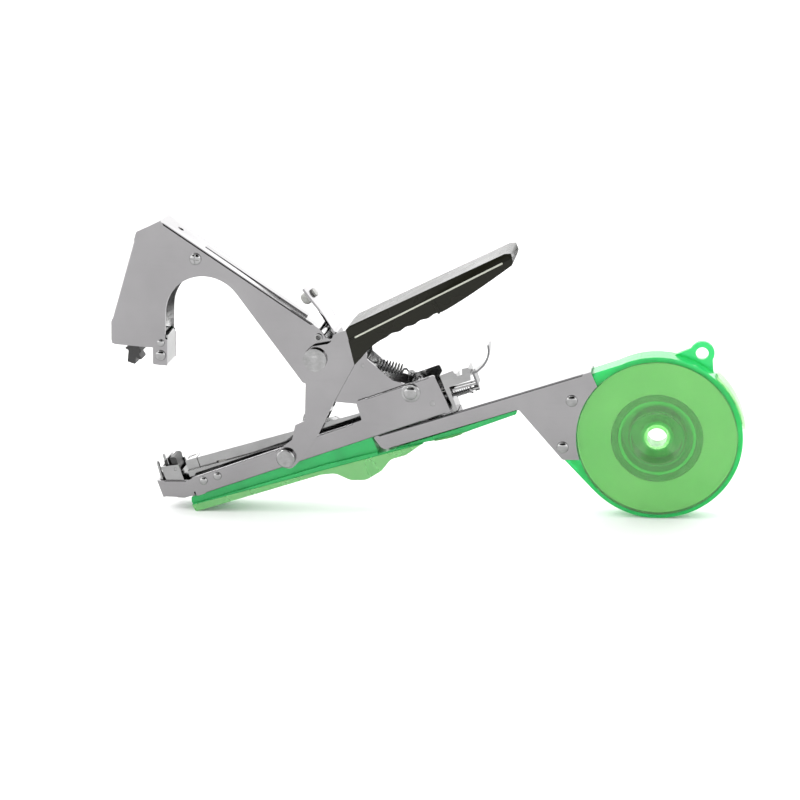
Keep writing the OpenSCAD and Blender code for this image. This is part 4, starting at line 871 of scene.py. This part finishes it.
# %% [markdown]
# ## Small turned and pressed shapes
# The cam pin ends in a stepped head, turned with a groove round its boss. A profile could be
# spun round the axis, but the steps are easier to read as a lathe cuts them: a disc is inset and
# pushed in and out, ring by ring. The long bead in the roof of the upper arm stiffens it: a slim
# bar let into the sheet, so that only its rounded top stands out.

# %% Stepped head
HEAD_RADIUS, HEAD_HEIGHT = 5.5, 0.7
HEAD_SUNK = 1.7 * MM
HEAD_STEPS = [
    (0.45, -0.12), (0.9, 0.0), (0.12, 0.95), (0.7, 0.0),
    (0.15, -0.3), (0.5, 0.0), (0.2, 0.3), (0.8, 0.0),
]


def stepped_head(name, centre, side, body):
    """A turned head on one side; each step is (inset, rise) of the face, in millimetres."""
    bpy.ops.mesh.primitive_cylinder_add(
        vertices=64, radius=HEAD_RADIUS * MM, depth=HEAD_HEIGHT * MM,
        location=centre + across * side * HEAD_HEIGHT / 2 * MM, rotation=(math.pi / 2, 0, 0),
    )
    piece = bpy.context.object
    lone(piece)
    bpy.ops.object.transform_apply(location=True, rotation=True, scale=True)
    for face in piece.data.polygons:
        face.select = face.normal.y * side > 0.9
    bpy.ops.object.mode_set(mode="EDIT")
    bpy.ops.mesh.select_mode(type="FACE")
    for inward, rise in HEAD_STEPS:
        bpy.ops.mesh.inset(thickness=inward * MM, depth=rise * MM)
    bpy.ops.object.mode_set(mode="OBJECT")
    finished(piece, name, screw_steel, body, edge=0.12)


cam_low, cam_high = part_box("cam_pin")
cam_centre = (cam_low + cam_high) / 2
for side, word in BOTH_SIDES:
    face = Vector((cam_centre.x, side * (cam_high.y - HEAD_SUNK), cam_centre.z))
    stepped_head("cam_head_" + word, face, side, "handle")

# %% Roof bead
CREST, TAIL = Vector((-139, 0, 82)), Vector((-51, 0, 30.4))
BEAD_START, BEAD_STOP = 27, 93
BEAD_WIDTH, BEAD_HEIGHT, BEAD_PROUD = 4.4, 0.9, 0.25


def on_roof(reach, rise):
    """A place on the upper arm's roof: reach behind its crest, rise above the sheet, at rest."""
    run = (TAIL - CREST).normalized()
    point = CREST + run * reach + Vector((-run.z, 0, run.x)) * rise
    x = point.x * math.cos(arm_open) + point.z * math.sin(arm_open)
    z = point.z * math.cos(arm_open) - point.x * math.sin(arm_open)
    return at(x, 0, z)


middle = on_roof((BEAD_START + BEAD_STOP) / 2, BEAD_PROUD - BEAD_HEIGHT / 2)
run = on_roof(BEAD_STOP, 0) - on_roof(BEAD_START, 0)
turn = math.atan2(-run.z, run.x)
bpy.ops.mesh.primitive_cube_add(size=1, location=middle, rotation=(0, turn, 0))
bead = bpy.context.object
bead.scale = (run.length, BEAD_WIDTH * MM, BEAD_HEIGHT * MM)
finished(bead, "roof_bead", bright_steel, "arm", edge=0.2)

# %% [markdown]
# ## The tube inside the roll
# The film is wound on a card tube, which the six ribs of the reel hold. Its dark green is painted
# shade: it stands for the shade in the ring round the hub. A cylinder with a smaller one cut out of
# it would do, but a cut leaves long thin faces. So a flat circle is drawn, inset to leave the bore,
# and given its width by extruding it along the axle. The reel's hub has a thin lip of the same
# kind, in a deeper green than the hub.

# %% Roll tube
TUBE_OUTER, TUBE_INNER, TUBE_HALF = 23.9, 20.7, 5.4
roll_low, roll_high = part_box("tape_roll")
axle = (roll_low + roll_high) / 2


def ring(name, outer, inner, half_width, look, body):
    """A plain ring on the reel's axle, sizes in millimetres."""
    bpy.ops.mesh.primitive_circle_add(
        vertices=96, radius=outer * MM, fill_type="NGON", location=axle - across * half_width * MM,
        rotation=(math.pi / 2, 0, 0),
    )
    piece = bpy.context.object
    lone(piece)
    bpy.ops.object.mode_set(mode="EDIT")
    bpy.ops.mesh.select_mode(type="FACE")
    bpy.ops.mesh.select_all(action="SELECT")
    bpy.ops.mesh.inset(thickness=(outer - inner) * MM)
    bpy.ops.mesh.delete(type="FACE")
    bpy.ops.mesh.select_all(action="SELECT")
    bpy.ops.mesh.extrude_region_move(TRANSFORM_OT_translate={"value": (0, 2 * half_width * MM, 0)})
    bpy.ops.mesh.select_all(action="SELECT")
    bpy.ops.mesh.normals_make_consistent(inside=False)
    bpy.ops.object.mode_set(mode="OBJECT")
    finished(piece, name, look, body, edge=0.15)


ring("roll_tube", TUBE_OUTER, TUBE_INNER, TUBE_HALF, card_tube_painted_shade, "reel")

# %% Hub lip
LIP_OUTER, LIP_INNER, LIP_PROUD = 15.1, 14.2, 0.05
core_low, core_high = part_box("reel_core")
core_half = (core_high.y - core_low.y) / 2 / MM
ring("hub_lip", LIP_OUTER, LIP_INNER, core_half + LIP_PROUD, grip_green, "reel")

# %% [markdown]
# ## Sizes
# The box of the frame is written out. The finished model may not leave the box of the frame.
# The widest new pieces are the swelling and the belly.

# %% Sizes and finish
print("frame box", [round(v, 4) for corner in cad_box for v in corner])
